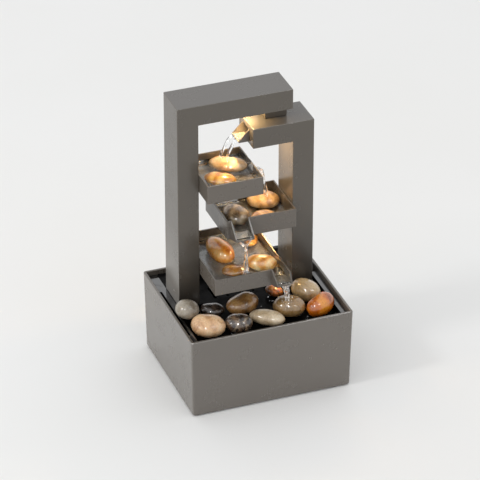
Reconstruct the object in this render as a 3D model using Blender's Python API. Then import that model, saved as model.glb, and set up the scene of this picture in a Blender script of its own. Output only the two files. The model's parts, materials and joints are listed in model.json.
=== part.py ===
"""Tabletop water fountain: three trays on two nested frames above a basin with a hidden pump.

The dimensions below are in millimetres, and the mesh builders turn them into metres.
+X is right, +Y is back and +Z is up. The origin is the middle of the footprint, on the
surface that the fountain stands on.
"""
import math

import bmesh
import bpy
from mathutils import Matrix, Vector

MM = 0.001
GAP = 0.3                     # clearance between pieces that touch
PIN_CLEAR = 0.3               # radial clearance around pins, tubes and screws

# Basin: an open box whose walls lean out towards the rim
FOOT_H = 1.0
BASIN_W = 190.0
BASIN_D = 162.0
RIM_Z = 97.5
BASIN_WALL = 3.2
BASIN_FLOOR = 3.0
BASIN_DRAFT = 1.9             # how much each side is narrower at the bottom
BASIN_CORNER = 3.0
BASE_CHAMFER = 1.4
RIM_EDGE = 0.6
POST_X = (87.0, 92.0)         # posts in the four corners, which the deck rests on
POST_Y = (72.0, 78.0)
FOOT_X, FOOT_Y, FOOT_R = 78.0, 64.0, 7.0

# Gland in the rear rim for the supply cord, and the pump's lead that runs into it
GLAND_X, GLAND_Z0 = 66.0, 86.0
GLAND_HALF_W = 5.0
GLAND_LIP = 1.6
GLAND_HOLE_Z = 92.0
GLAND_BORE = 2.3
PUMP_LEAD_R = 1.8

# Deck: a plate under the rim with a sunk pan for the pebbles
DECK_Z = 92.0
DECK_T = 2.5
PAN_FLOOR = 83.0
PAN_WALL = 2.2
DECK_X = 91.2
DECK_Y = 77.3
PAN_X0, PAN_X1 = -84.0, 84.5
PAN_Y0, PAN_Y1 = -71.5, 66.0
PAN_SHELF_X, PAN_SHELF_Y = -48.0, 0.5      # left of this and behind it the deck stays flat
DECK_EDGE = 86.8                            # the plate's side where it leaves a gap for water
LEFT_WATER_GAP = (-57.0, 42.0)
RIGHT_WATER_GAP = (20.0, 58.0)
LEAD_NOTCH_X, LEAD_NOTCH_Y = (58.0, 74.0), 70.0
DRAINS = 5                                  # slots in the pan's floor, under the trays
DRAIN_W, DRAIN_PITCH = 3.0, 15.0
DRAIN_Y = (20.0, 44.0)

# The two frames: a column and a beam each, as hollow mouldings with a back cover
FRAME_Y0, FRAME_Y1 = 2.0, 46.0
FRAME_Z0 = DECK_Z + GAP
SHELL = 1.8
EDGE_BEVEL = 0.8
BEAM_H = 24.0
OUTER_X0, OUTER_X1, OUTER_COLUMN, OUTER_TOP = -80.0, 54.0, 24.5, 341.7
INNER_X0, INNER_X1, INNER_COLUMN, INNER_TOP = 7.5, 79.0, 25.0, 300.5
FOOT_BOSS_R, FOOT_BOSS_H = 4.0, 9.0
SCREW_R, SCREW_HEAD_R = 1.4, 3.0
SCREW_TIP = 100.5
SCREW_Y = 11.0
LINK_BLOCK = (28.0, 53.7, 20.0, 42.0)       # the spacer between the beams: x0, x1, y0, y1
LINK_X, LINK_Y, LINK_SPIGOT_R, LINK_SPIGOT_H = 41.0, 31.0, 4.0, 2.8
LEFT_FACE = OUTER_X0 + OUTER_COLUMN         # the side of the left column that faces the trays
RIGHT_FACE = INNER_X1 - INNER_COLUMN        # the side of the right column that faces the trays

# Trays
TRAY_WALL = 1.8
TRAY_FLOOR = 2.0
TONGUE = (20.0, 2.4, 5.0)                   # length, thickness and reach of the mounting tongue
UPPER = (LEFT_FACE + GAP, 9.5, -25.0, 48.0, 234.0, 256.0)
MIDDLE = (-28.0, RIGHT_FACE - GAP, -11.0, 58.0, 176.0, 199.0)
LOWER = (LEFT_FACE + GAP, 29.0, -47.5, 60.0, 130.5, 150.5)
# Their outlets: width, reach, height and sill above the tray's underside
UPPER_CHUTE = (24.5, 5.0, 22.0, 13.0)
MIDDLE_CHUTE = (22.0, 16.0, 23.0, 7.0)
LOWER_CHUTE = (18.5, 17.0, 20.0, 9.5)
UPPER_CHUTE_Y = 14.0
MIDDLE_CHUTE_X = -12.5

# Water path: pump outlet, hose and the chute at the end of the lower beam
HOSE_X, HOSE_Y = 66.5, 24.0
HOSE_R, HOSE_BORE = 5.0, 3.5
HOSE_BEND = 12.0
HOSE_TOP = 287.0
HOSE_HOLE_R = 5.8
CHUTE_Y0, CHUTE_Y1 = 14.3, 35.7
CHUTE_Z0, CHUTE_Z1 = 279.9, 294.4
CHUTE_LIP = -4.5
CHUTE_BACK = 14.0
CHUTE_WALL = 1.5

# Pump: its axis runs front to back
PUMP_X, PUMP_Z = 66.0, 25.0
PUMP_HALF_W = 19.0
PUMP_Z0, PUMP_Z1 = 10.0, 44.0
CHAMBER_Y0, CHAMBER_Y1 = 13.0, 31.7
MOTOR_Y0, MOTOR_Y1 = 32.0, 66.0
CHAMBER_R = 12.5
INLETS, INLET_R, INLET_CIRCLE = 6, 2.2, 7.6
NOZZLE_R, NOZZLE_BORE, NOZZLE_TOP = 3.2, 2.2, 62.0
SHAFT_R = 1.0
WELL_R, WELL_END = 7.8, 54.0
MAGNET_R, MAGNET_Y = 7.0, (34.3, 50.0)
HUB_R, HUB_Y = 3.6, (18.0, 34.0)
DISC_R, DISC_Y = 10.0, (28.0, 29.4)
VANES, VANE_T, VANE_REACH, VANE_Y0 = 4, 1.4, 9.6, 19.0
INTAKE_Y0, INTAKE_WALL = 5.0, 1.4
SLOTS, SLOT_W, SLOT_PITCH = 7, 1.8, 4.0
SLIDER_H, SLIDER_L, RAIL_T = 8.0, 16.0, 1.4
RAIL_HALF = 13.0
CUP_X = (53.0, 79.0)
CUP_Y = (38.0, 60.0)

# Light under the top beam
LIGHT_X, LIGHT_Y = -1.0, 24.0
LIGHT_W, LIGHT_D = 15.4, 13.4

LENS_T = 1.2
LENS_FLANGE = 2.0
BOARD_T = 1.2
CHIP = 5.0

# Lead of the light, down the left column to a plug under the deck
LEAD_X, LEAD_Y = -68.0, 24.0
LIGHT_LEAD_R = 1.2
LEAD_HOLE_R = 4.5
CONNECTOR_Z0, CONNECTOR_TOP = 76.0, 95.0
COLUMN_SCREWS = {"left_column_screw": (LEAD_X, SCREW_Y), "right_column_screw": (HOSE_X, SCREW_Y)}

# Pebbles: name, x, y, height it rests at, length, width, thickness, turn in degrees, stone
PEBBLES = (
    ("deck_pebble_1", -79, -20, 92.3, 27, 26.5, 21, -60, "grey"),
    ("deck_pebble_2", -65, -50, 83.3, 38.5, 32.5, 22.5, -28, "tan"),
    ("deck_pebble_3", -45.5, -13, 83.3, 28, 22, 14.5, -21, "charcoal"),
    ("deck_pebble_4", -29.5, -54.5, 83.3, 30, 27, 22, -40, "charcoal"),
    ("deck_pebble_5", -12.5, -18, 83.3, 38, 29.5, 23, 10, "brown"),
    ("deck_pebble_6", 4, -49.5, 83.3, 42, 22, 16.5, -42, "cream"),
    ("deck_pebble_7", 34, -41, 83.3, 37, 29.5, 23, -34, "brown"),
    ("deck_pebble_8", 64, -18, 83.3, 34, 29, 24.5, -50, "tan"),
    ("deck_pebble_9", 67.5, -52, 83.3, 35.5, 25.5, 25.5, 28, "orange"),
    ("deck_pebble_10", 33, 2, 83.3, 20.5, 15, 13, -40, "brown"),
    ("upper_pebble_1", -13.3, 28.5, 236.3, 41, 26, 18.8, -38, "cream"),
    ("upper_pebble_2", -31.5, 2.5, 236.3, 34, 25.5, 16, -40, "orange"),
    ("middle_pebble_1", 33, 37, 178.3, 36.5, 28, 20, -32, "tan"),
    ("middle_pebble_2", -8, 17, 178.3, 33.5, 30, 21.5, -70, "charcoal"),
    ("middle_pebble_3", 21.5, 4.5, 178.3, 31, 23, 16.5, -8, "tan"),
    ("lower_pebble_1", -24, 21, 132.8, 47, 26, 22, -85, "orange"),
    ("lower_pebble_2", 11, -18, 132.8, 33.5, 26, 18.5, -38, "tan"),
    ("lower_pebble_3", -21.5, -17.5, 132.8, 26.5, 24, 10, -10, "brown"),
    ("lower_pebble_4", 17.6, 35.5, 132.8, 24, 16, 12.5, 60, "orange"),
)
STONES = {
    "cream": (0.72, 0.58, 0.40),
    "tan": (0.55, 0.38, 0.22),
    "orange": (0.60, 0.24, 0.06),
    "brown": (0.22, 0.12, 0.055),
    "charcoal": (0.09, 0.07, 0.055),
    "grey": (0.50, 0.45, 0.39),
}


# ---------------------------------------------------------------- materials

def material(name, colour, roughness, metallic=0.0, transmission=0.0):
    """A Principled material with the colour given as linear RGB."""
    mat = bpy.data.materials.new(name)
    mat.use_nodes = True
    shader = mat.node_tree.nodes["Principled BSDF"]
    shader.inputs["Base Color"].default_value = (*colour, 1.0)
    shader.inputs["Roughness"].default_value = roughness
    shader.inputs["Metallic"].default_value = metallic
    shader.inputs["Transmission Weight"].default_value = transmission
    return mat


# ---------------------------------------------------------------- mesh builders

def finished(bm):
    """Turn millimetres into metres and point every face outwards."""
    bmesh.ops.scale(bm, vec=(MM, MM, MM), verts=bm.verts)
    bmesh.ops.recalc_face_normals(bm, faces=bm.faces)
    return bm


def loft(loops, ring=False):
    """Skin a list of loops with equal point counts; a ring joins its last loop to its first."""
    bm = bmesh.new()
    rows = [[bm.verts.new(p) for p in loop] for loop in loops]
    count = len(rows[0])
    pairs = list(zip(rows, rows[1:]))
    if ring:
        pairs.append((rows[-1], rows[0]))
    for low, high in pairs:
        for i in range(count):
            j = (i + 1) % count
            bm.faces.new((low[i], low[j], high[j], high[i]))
    if not ring:
        bm.faces.new(rows[0])
        bm.faces.new(rows[-1])
    return finished(bm)


def prism(outline, axis, start, end, bevel=0.0):
    """Extrude a flat outline along an axis. For X the outline is (y, z), for Y (x, z), for Z (x, y)."""
    def place(point, along):
        a, b = point
        return {"X": (along, a, b), "Y": (a, along, b), "Z": (a, b, along)}[axis]
    bm = loft([[place(p, along) for p in outline] for along in (start, end)])
    if bevel:
        bmesh.ops.bevel(bm, geom=bm.edges[:], offset=bevel * MM, segments=2, profile=0.5,
                        affect="EDGES", clamp_overlap=True)
    return bm


def box(x0, x1, y0, y1, z0, z1, bevel=0.0):
    return prism(((x0, y0), (x1, y0), (x1, y1), (x0, y1)), "Z", z0, z1, bevel)


def rounded_rectangle(half_x, half_y, radius, z, steps=4):
    """The points of a rectangle with round corners, counter-clockwise at height z."""
    points = []
    for quarter, (sx, sy) in enumerate(((1, 1), (-1, 1), (-1, -1), (1, -1))):
        for step in range(steps + 1):
            angle = math.radians(90 * quarter + 90 * step / steps)
            x = sx * (half_x - radius) + radius * math.cos(angle)
            y = sy * (half_y - radius) + radius * math.sin(angle)
            points.append((x, y, z))
    return points


def circle(radius, z, segments):
    return [(radius * math.cos(2 * math.pi * i / segments),
             radius * math.sin(2 * math.pi * i / segments), z) for i in range(segments)]


def turned(profile, segments=24, ring=False):
    """Turn a profile of (radius, height) points about Z; a ring is hollow along the axis."""
    return loft([circle(r, z, segments) for r, z in profile], ring)


def cylinder(radius, z0, z1, segments=24):
    return turned(((radius, z0), (radius, z1)), segments)


def tube_ring(outer, inner, z0, z1, segments=24):
    return turned(((outer, z0), (outer, z1), (inner, z1), (inner, z0)), segments, ring=True)


def placed(bm, x=0.0, y=0.0, z=0.0, along="Z"):
    """Move a mesh turned about Z so that its axis lies along X, Y or Z through the point."""
    turn = {"X": Matrix.Rotation(math.radians(90), 4, "Y"),
            "Y": Matrix.Rotation(math.radians(-90), 4, "X"),
            "Z": Matrix.Identity(4)}[along]
    bm.transform(Matrix.Translation(Vector((x, y, z)) * MM) @ turn)
    return bm


def hose_mesh(points, outer, inner, segments=12):
    """A hollow tube along a path in an XZ plane."""
    outside = []
    inside = []
    for i, point in enumerate(points):
        before = Vector(points[max(i - 1, 0)])
        after = Vector(points[min(i + 1, len(points) - 1)])
        tangent = (after - before).normalized()
        side = Vector((0.0, 1.0, 0.0))
        normal = side.cross(tangent)
        for radius, rows in ((outer, outside), (inner, inside)):
            rows.append([Vector(point)
                         + side * radius * math.cos(2 * math.pi * k / segments)
                         + normal * radius * math.sin(2 * math.pi * k / segments)
                         for k in range(segments)])
    return loft(outside + inside[::-1], ring=True)


def pebble_mesh(length, width, thickness, seed):
    """A water-worn stone: a flattened ball with a few shallow swellings."""
    bm = bmesh.new()
    bmesh.ops.create_icosphere(bm, subdivisions=3, radius=1.0)
    for vert in bm.verts:
        x, y, z = vert.co
        swell = 0.045 * math.sin(2.1 * x + 1.3 * seed) + 0.035 * math.cos(2.6 * y - 0.7 * seed)
        swell += 0.03 * math.sin(2.3 * z + 1.9 * x + seed)
        vert.co = Vector((x * length, y * width, z * thickness)) * (0.5 * (1.0 + swell))
    lowest = min(v.co.z for v in bm.verts)
    bmesh.ops.translate(bm, vec=(0.0, 0.0, -lowest), verts=bm.verts)
    return finished(bm)


# ---------------------------------------------------------------- objects

def object_from(name, bm, mat, smooth=False):
    mesh = bpy.data.meshes.new(name)
    bm.to_mesh(mesh)
    bm.free()
    if smooth:
        mesh.shade_smooth()
        mesh.set_sharp_from_angle(angle=math.radians(35))
    mesh.materials.append(mat)
    obj = bpy.data.objects.new(name, mesh)
    bpy.context.scene.collection.objects.link(obj)
    return obj


def solid(name, mat, parts, cuts=(), smooth=False):
    """Join parts into one body, take the cuts away and drop the helper objects."""
    obj = object_from(name, parts[0], mat)
    helpers = []
    for operation, shapes in (("UNION", parts[1:]), ("DIFFERENCE", cuts)):
        for shape in shapes:
            helper = object_from(name + "_helper", shape, mat)
            helper.hide_render = True
            helper.display_type = "WIRE"
            modifier = obj.modifiers.new(operation.lower(), "BOOLEAN")
            modifier.operation = operation
            modifier.solver = "EXACT"
            modifier.object = helper
            helpers.append(helper)
    bpy.context.view_layer.update()
    evaluated = obj.evaluated_get(bpy.context.evaluated_depsgraph_get())
    mesh = bpy.data.meshes.new_from_object(evaluated)
    mesh.name = name
    if smooth:
        mesh.shade_smooth()
        mesh.set_sharp_from_angle(angle=math.radians(35))
    obj.modifiers.clear()
    obj.data = mesh
    for helper in helpers:
        bpy.data.objects.remove(helper)
    return obj


def set_origin(obj, x, y, z):
    """Put an object's origin on its joint without moving its shape."""
    point = Vector((x, y, z)) * MM
    obj.data.transform(Matrix.Translation(-point))
    obj.location = point


def lead(name, points, radius, mat):
    """A thin cable as a bevelled curve through the points."""
    curve = bpy.data.curves.new(name, "CURVE")
    curve.dimensions = "3D"
    curve.bevel_depth = radius * MM
    curve.bevel_resolution = 2
    curve.use_fill_caps = True
    spline = curve.splines.new("POLY")
    spline.points.add(len(points) - 1)
    for target, point in zip(spline.points, points):
        target.co = (*(Vector(point) * MM), 1.0)
    curve.materials.append(mat)
    obj = bpy.data.objects.new(name, curve)
    bpy.context.scene.collection.objects.link(obj)
    return obj


def smooth_path(knots, spacing):
    """Points at about even spacing on a Catmull-Rom curve through the knots."""
    knots = [Vector(k) for k in knots]
    padded = [2 * knots[0] - knots[1]] + knots + [2 * knots[-1] - knots[-2]]
    points = [knots[0]]
    for i in range(1, len(padded) - 2):
        a, b, c, d = padded[i - 1:i + 3]
        steps = max(1, round((c - b).length / spacing))
        for step in range(1, steps + 1):
            t = step / steps
            points.append(0.5 * ((2 * b) + (c - a) * t + (2 * a - 5 * b + 4 * c - d) * t ** 2
                                 + (3 * b - a - 3 * c + d) * t ** 3))
    return points


# ---------------------------------------------------------------- basin

def basin_loop(inset, z):
    """A level loop of the basin's wall: inset from the outer face, narrower lower down."""
    lean = BASIN_DRAFT * (RIM_Z - z) / (RIM_Z - FOOT_H)
    radius = max(BASIN_CORNER - inset, 0.6)
    return rounded_rectangle(BASIN_W / 2 - lean - inset, BASIN_D / 2 - lean - inset, radius, z)


def build_basin(mat):
    """The basin with its corner posts and the notch for the gland."""
    shell = loft([
        basin_loop(BASE_CHAMFER, FOOT_H),
        basin_loop(0.0, FOOT_H + BASE_CHAMFER),
        basin_loop(0.0, RIM_Z - RIM_EDGE),
        basin_loop(RIM_EDGE, RIM_Z),
        basin_loop(BASIN_WALL - RIM_EDGE, RIM_Z),
        basin_loop(BASIN_WALL, RIM_Z - RIM_EDGE),
        basin_loop(BASIN_WALL, FOOT_H + BASIN_FLOOR),
    ])
    posts = []
    for sx in (-1, 1):
        for sy in (-1, 1):
            x = sorted((sx * POST_X[0], sx * POST_X[1]))
            y = sorted((sy * POST_Y[0], sy * POST_Y[1]))
            posts.append(box(*x, *y, FOOT_H + BASIN_FLOOR - 1.0, DECK_Z - DECK_T - GAP))
    notch = box(GLAND_X - GLAND_HALF_W, GLAND_X + GLAND_HALF_W, BASIN_D / 2 - 2 * BASIN_WALL,
                BASIN_D / 2 + BASIN_WALL, GLAND_Z0, RIM_Z + BASIN_WALL)
    return solid("basin", mat, [shell] + posts, [notch])


def build_grommet(mat):
    """The rubber gland that the supply cord leaves through, in a notch of the rear rim."""
    half = GLAND_HALF_W - GAP
    z0 = GLAND_Z0 + GAP
    z1 = RIM_Z - 0.2
    wall_out = BASIN_D / 2
    wall_in = wall_out - BASIN_WALL
    back = wall_in - 1.8
    body = box(GLAND_X - half, GLAND_X + half, back, wall_out - 0.1, z0, z1)
    flange = box(GLAND_X - half - GLAND_LIP, GLAND_X + half + GLAND_LIP, back, wall_in - 0.6, z0, z1)
    hole = placed(cylinder(GLAND_BORE, -10.0, 10.0, 16), GLAND_X, wall_out, GLAND_HOLE_Z, along="Y")
    return solid("cable_grommet", mat, [body, flange], [hole])


def build_feet(mat):
    """Four rubber pads that carry the basin."""
    for name, sx, sy in (("foot_front_left", -1, -1), ("foot_front_right", 1, -1),
                         ("foot_back_left", -1, 1), ("foot_back_right", 1, 1)):
        pad = turned(((FOOT_R - 0.6, 0.0), (FOOT_R, 0.3), (FOOT_R, FOOT_H - 0.05)), 20)
        object_from(name, placed(pad, sx * FOOT_X, sy * FOOT_Y), mat, smooth=True)


# ---------------------------------------------------------------- deck

def deck_outline():
    """The plate's edge: it reaches the basin's walls except along gaps for the water."""
    x, y, c = DECK_X, DECK_Y, 1.0
    slope = 2.0
    left0, left1 = LEFT_WATER_GAP
    right0, right1 = RIGHT_WATER_GAP
    notch0, notch1 = LEAD_NOTCH_X
    return ((-x + c, -y), (x - c, -y), (x, -y + c), (x, right0), (DECK_EDGE, right0 + slope),
            (DECK_EDGE, right1 - slope), (x, right1), (x, y - c), (x - c, y),
            (notch1, y), (notch1, LEAD_NOTCH_Y), (notch0, LEAD_NOTCH_Y), (notch0, y),
            (-x + c, y), (-x, y - c), (-x, left1), (-DECK_EDGE, left1 - slope),
            (-DECK_EDGE, left0 + slope), (-x, left0), (-x, -y + c))


def build_deck(mat):
    """The deck with its pan, the block under the right column, and every hole through it."""
    under = DECK_Z - DECK_T
    pan_under = PAN_FLOOR - DECK_T
    plate = prism(deck_outline(), "Z", under, DECK_Z)
    w = PAN_WALL
    tub_outline = ((PAN_X0 - w, PAN_Y0 - w), (PAN_X1 + w, PAN_Y0 - w), (PAN_X1 + w, PAN_Y1 + w),
                   (PAN_SHELF_X - w, PAN_Y1 + w), (PAN_SHELF_X - w, PAN_SHELF_Y + w),
                   (PAN_X0 - w, PAN_SHELF_Y + w))
    tub = prism(tub_outline, "Z", pan_under, DECK_Z - 0.5)
    pan_outline = ((PAN_X0, PAN_Y0), (PAN_X1, PAN_Y0), (PAN_X1, PAN_Y1),
                   (PAN_SHELF_X, PAN_Y1), (PAN_SHELF_X, PAN_SHELF_Y), (PAN_X0, PAN_SHELF_Y))
    pan = prism(pan_outline, "Z", PAN_FLOOR, DECK_Z + DECK_T)
    # The right column stands on a hollow block that rises from the pan to the deck's level.
    block = (RIGHT_FACE - 1.0, INNER_X1 + 1.0, FRAME_Y0 - 1.0, FRAME_Y1 + 1.0)
    inside = (block[0] + w, block[1] - w, block[2] + w, block[3] - w)
    below, above = pan_under - DECK_T, DECK_Z + DECK_T
    cuts = [box(*inside, below, under)]
    cuts.append(placed(cylinder(HOSE_HOLE_R, below, above), HOSE_X, HOSE_Y))
    cuts.append(placed(cylinder(LEAD_HOLE_R, below, above), LEAD_X, LEAD_Y))
    for x, y in COLUMN_SCREWS.values():
        cuts.append(placed(cylinder(SCREW_R + PIN_CLEAR, below, above, 16), x, y))
    for i in range(DRAINS):
        x = DRAIN_PITCH * (i - (DRAINS - 1) / 2)
        cuts.append(box(x - DRAIN_W / 2, x + DRAIN_W / 2, *DRAIN_Y, below, PAN_FLOOR + 1.0))
    shell = solid("deck_plate", mat, [plate, tub], [pan])
    shell_bm = bmesh.new()
    shell_bm.from_mesh(shell.data)
    bpy.data.objects.remove(shell)
    return solid("deck_plate", mat, [shell_bm, box(*block, PAN_FLOOR - 1.0, DECK_Z)], cuts)


def build_column_screws(mat):
    """Self-tapping screws from under the deck into the foot of each column."""
    head = DECK_Z - DECK_T - GAP
    for name, (x, y) in COLUMN_SCREWS.items():
        shape = turned(((SCREW_HEAD_R - 0.8, head - 2.0), (SCREW_HEAD_R, head - 1.4),
                        (SCREW_HEAD_R, head), (SCREW_R, head), (SCREW_R, SCREW_TIP - 1.5),
                        (0.5, SCREW_TIP)), 16)
        object_from(name, placed(shape, x, y), mat, smooth=True)


# ---------------------------------------------------------------- frames

def frame_outline(x0, x1, z1, column, at_left, inset):
    """The upside-down L of a frame in the XZ plane, inset on every side."""
    z0 = FRAME_Z0 + inset
    top = z1 - inset
    under = z1 - BEAM_H + inset
    if at_left:
        inner = x0 + column - inset
        return ((x0 + inset, z0), (inner, z0), (inner, under), (x1 - inset, under),
                (x1 - inset, top), (x0 + inset, top))
    inner = x1 - column + inset
    return ((inner, z0), (x1 - inset, z0), (x1 - inset, top), (x0 + inset, top),
            (x0 + inset, under), (inner, under))


def build_frame(name, mat, shape, foot, cuts):
    """A column and beam moulded in one, open at the back, and the cover that closes it."""
    outer = prism(frame_outline(*shape, 0.0), "Y", FRAME_Y0, FRAME_Y1, EDGE_BEVEL)
    hollow = prism(frame_outline(*shape, SHELL), "Y", FRAME_Y0 + SHELL, FRAME_Y1 + 5.0)
    shell = solid(name + "_shell", mat, [outer], [hollow])
    shell_bm = bmesh.new()
    shell_bm.from_mesh(shell.data)
    bpy.data.objects.remove(shell)
    boss = placed(cylinder(FOOT_BOSS_R, FRAME_Z0 + SHELL / 2, FRAME_Z0 + FOOT_BOSS_H, 16), *foot)
    pilot = placed(cylinder(SCREW_R + PIN_CLEAR, FRAME_Z0 - 1.0, FRAME_Z0 + FOOT_BOSS_H + 1.0, 16),
                   *foot)
    solid(name + "_shell", mat, [shell_bm, boss], [pilot] + cuts)
    cover = prism(frame_outline(*shape, SHELL + GAP), "Y", FRAME_Y1 - SHELL - 0.2, FRAME_Y1 - 0.2)
    object_from(name + "_back_cover", cover, mat)


def tongue_slot(x0, x1, tray):
    """The slot in a column's side that a tray's tongue goes into."""
    y, z = tongue_centre(tray)
    length, thick, _ = TONGUE
    return box(x0, x1, y - length / 2 - GAP, y + length / 2 + GAP,
               z - thick / 2 - GAP, z + thick / 2 + GAP)


def build_frames(mat):
    """Both frames, with the holes for tongues, lead, lens, hose, chute and spigots."""
    through = 2 * SHELL
    beam_under = OUTER_TOP - BEAM_H
    spigot_hole = LINK_SPIGOT_R + GAP
    foot = (FRAME_Z0 - through, FRAME_Z0 + through)
    left_cuts = [tongue_slot(LEFT_FACE - through, LEFT_FACE + through, tray) for tray in (UPPER, LOWER)]
    left_cuts.append(placed(cylinder(LEAD_HOLE_R, *foot), LEAD_X, LEAD_Y))
    left_cuts.append(box(LIGHT_X - LIGHT_W / 2 - GAP, LIGHT_X + LIGHT_W / 2 + GAP,
                         LIGHT_Y - LIGHT_D / 2 - GAP, LIGHT_Y + LIGHT_D / 2 + GAP,
                         beam_under - through, beam_under + through))
    left_cuts.append(placed(cylinder(spigot_hole, beam_under - through, beam_under + through, 20),
                            LINK_X, LINK_Y))
    build_frame("outer_frame", mat, (OUTER_X0, OUTER_X1, OUTER_TOP, OUTER_COLUMN, True),
                COLUMN_SCREWS["left_column_screw"], left_cuts)
    right_cuts = [tongue_slot(RIGHT_FACE - through, RIGHT_FACE + through, MIDDLE)]
    right_cuts.append(placed(cylinder(HOSE_HOLE_R, *foot), HOSE_X, HOSE_Y))
    right_cuts.append(box(INNER_X0 - through, INNER_X0 + through, CHUTE_Y0 - GAP, CHUTE_Y1 + GAP,
                          CHUTE_Z0 - GAP, CHUTE_Z1 + GAP))
    right_cuts.append(placed(cylinder(spigot_hole, INNER_TOP - through, INNER_TOP + through, 20),
                             LINK_X, LINK_Y))
    build_frame("inner_frame", mat, (INNER_X0, INNER_X1, INNER_TOP, INNER_COLUMN, False),
                COLUMN_SCREWS["right_column_screw"], right_cuts)


def build_link(mat):
    """The spacer that ties the two beams, with a spigot into each of them."""
    z0 = INNER_TOP + GAP
    z1 = OUTER_TOP - BEAM_H - GAP
    block = box(*LINK_BLOCK, z0, z1, 0.6)
    spigot = placed(cylinder(LINK_SPIGOT_R, z0 - LINK_SPIGOT_H, z1 + LINK_SPIGOT_H, 20), LINK_X, LINK_Y)
    return solid("beam_link", mat, [block, spigot])


# ---------------------------------------------------------------- trays and chutes

def tongue_centre(tray):
    """Height and depth of the middle of a tray's mounting tongue."""
    return (FRAME_Y0 + FRAME_Y1) / 2, tray[4] + 10.0


def chute_shapes(width, reach, height, sill, full_right=False):
    """An open chute in its own frame: it runs towards -Y from a wall at y = 0.

    Heights are above the tray's underside. The floor falls slightly from the sill to the lip.
    """
    lip = sill - 1.0
    half = width / 2
    outline = ((1.0, height), (-reach, lip + 2.0), (-reach, lip - 1.6), (1.0, 0.0))
    shapes = [prism(outline, "X", -half, half)]
    if full_right:
        side = ((1.0, height), (-0.62 * reach, height - 0.6), (-reach, lip + 2.0),
                (-reach, lip - 1.6), (1.0, 0.0))
        shapes.append(prism(side, "X", half - CHUTE_WALL, half))
    channel = ((TRAY_WALL + 1.0, sill), (TRAY_WALL + 1.0, height + 5.0),
               (-reach - 2.0, height + 5.0), (-reach - 2.0, lip))
    cut = prism(channel, "X", -half + CHUTE_WALL, half - CHUTE_WALL)
    return shapes, cut


def build_tray(name, mat, tray, tongue_side, chute, chute_place):
    """A square tray with an open chute through one wall and a tongue into its column."""
    x0, x1, y0, y1, z0, z1 = tray
    body = box(*tray, 0.5)
    inside = box(x0 + TRAY_WALL, x1 - TRAY_WALL, y0 + TRAY_WALL, y1 - TRAY_WALL,
                 z0 + TRAY_FLOOR, z1 + 5.0)
    shapes, channel = chute
    turn, x, y = chute_place
    place = Matrix.Translation(Vector((x, y, z0)) * MM) @ Matrix.Rotation(math.radians(turn), 4, "Z")
    for shape in shapes + [channel]:
        shape.transform(place)
    length, thick, reach = TONGUE
    ty, tz = tongue_centre(tray)
    wall = x0 if tongue_side < 0 else x1
    tongue_x = sorted((wall - tongue_side * 1.0, wall + tongue_side * reach))
    tongue = box(*tongue_x, ty - length / 2, ty + length / 2, tz - thick / 2, tz + thick / 2)
    return solid(name, mat, [body] + shapes + [tongue], [inside, channel])


def build_trays(mat):
    """The upper tray empties to the right, the other two to the front."""
    build_tray("upper_tray", mat, UPPER, -1, chute_shapes(*UPPER_CHUTE),
               (90.0, UPPER[1], UPPER_CHUTE_Y))
    build_tray("middle_tray", mat, MIDDLE, 1, chute_shapes(*MIDDLE_CHUTE),
               (0.0, MIDDLE_CHUTE_X, MIDDLE[2]))
    build_tray("lower_tray", mat, LOWER, -1, chute_shapes(*LOWER_CHUTE, True),
               (0.0, LOWER[1] - LOWER_CHUTE[0] / 2, LOWER[2]))


def build_spout_chute(mat):
    """The chute that the water leaves from, plugged into the end of the lower beam."""
    root = INNER_X0 + SHELL
    outline = ((CHUTE_BACK, CHUTE_Z0), (CHUTE_BACK, CHUTE_Z1), (INNER_X0, CHUTE_Z1),
               (CHUTE_LIP, CHUTE_Z0 + 2.2), (CHUTE_LIP, CHUTE_Z0))
    body = prism(outline, "Y", CHUTE_Y0, CHUTE_Y1)
    floor = CHUTE_Z0 + CHUTE_WALL
    channel = ((CHUTE_BACK - CHUTE_WALL, floor + 0.4), (CHUTE_BACK - CHUTE_WALL, CHUTE_Z1 - CHUTE_WALL),
               (root, CHUTE_Z1 - CHUTE_WALL), (root - 3.0, CHUTE_Z1 + 8.0),
               (CHUTE_LIP - 3.0, CHUTE_Z1 + 8.0), (CHUTE_LIP - 3.0, floor - 0.2))
    cut = prism(channel, "Y", CHUTE_Y0 + CHUTE_WALL, CHUTE_Y1 - CHUTE_WALL)
    hole = placed(cylinder(HOSE_R + PIN_CLEAR, 5.0, 20.0, 20), 0.0, HOSE_Y, HOSE_TOP, along="X")
    return solid("spout_chute", mat, [body], [cut, hole])


# ---------------------------------------------------------------- light

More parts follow.
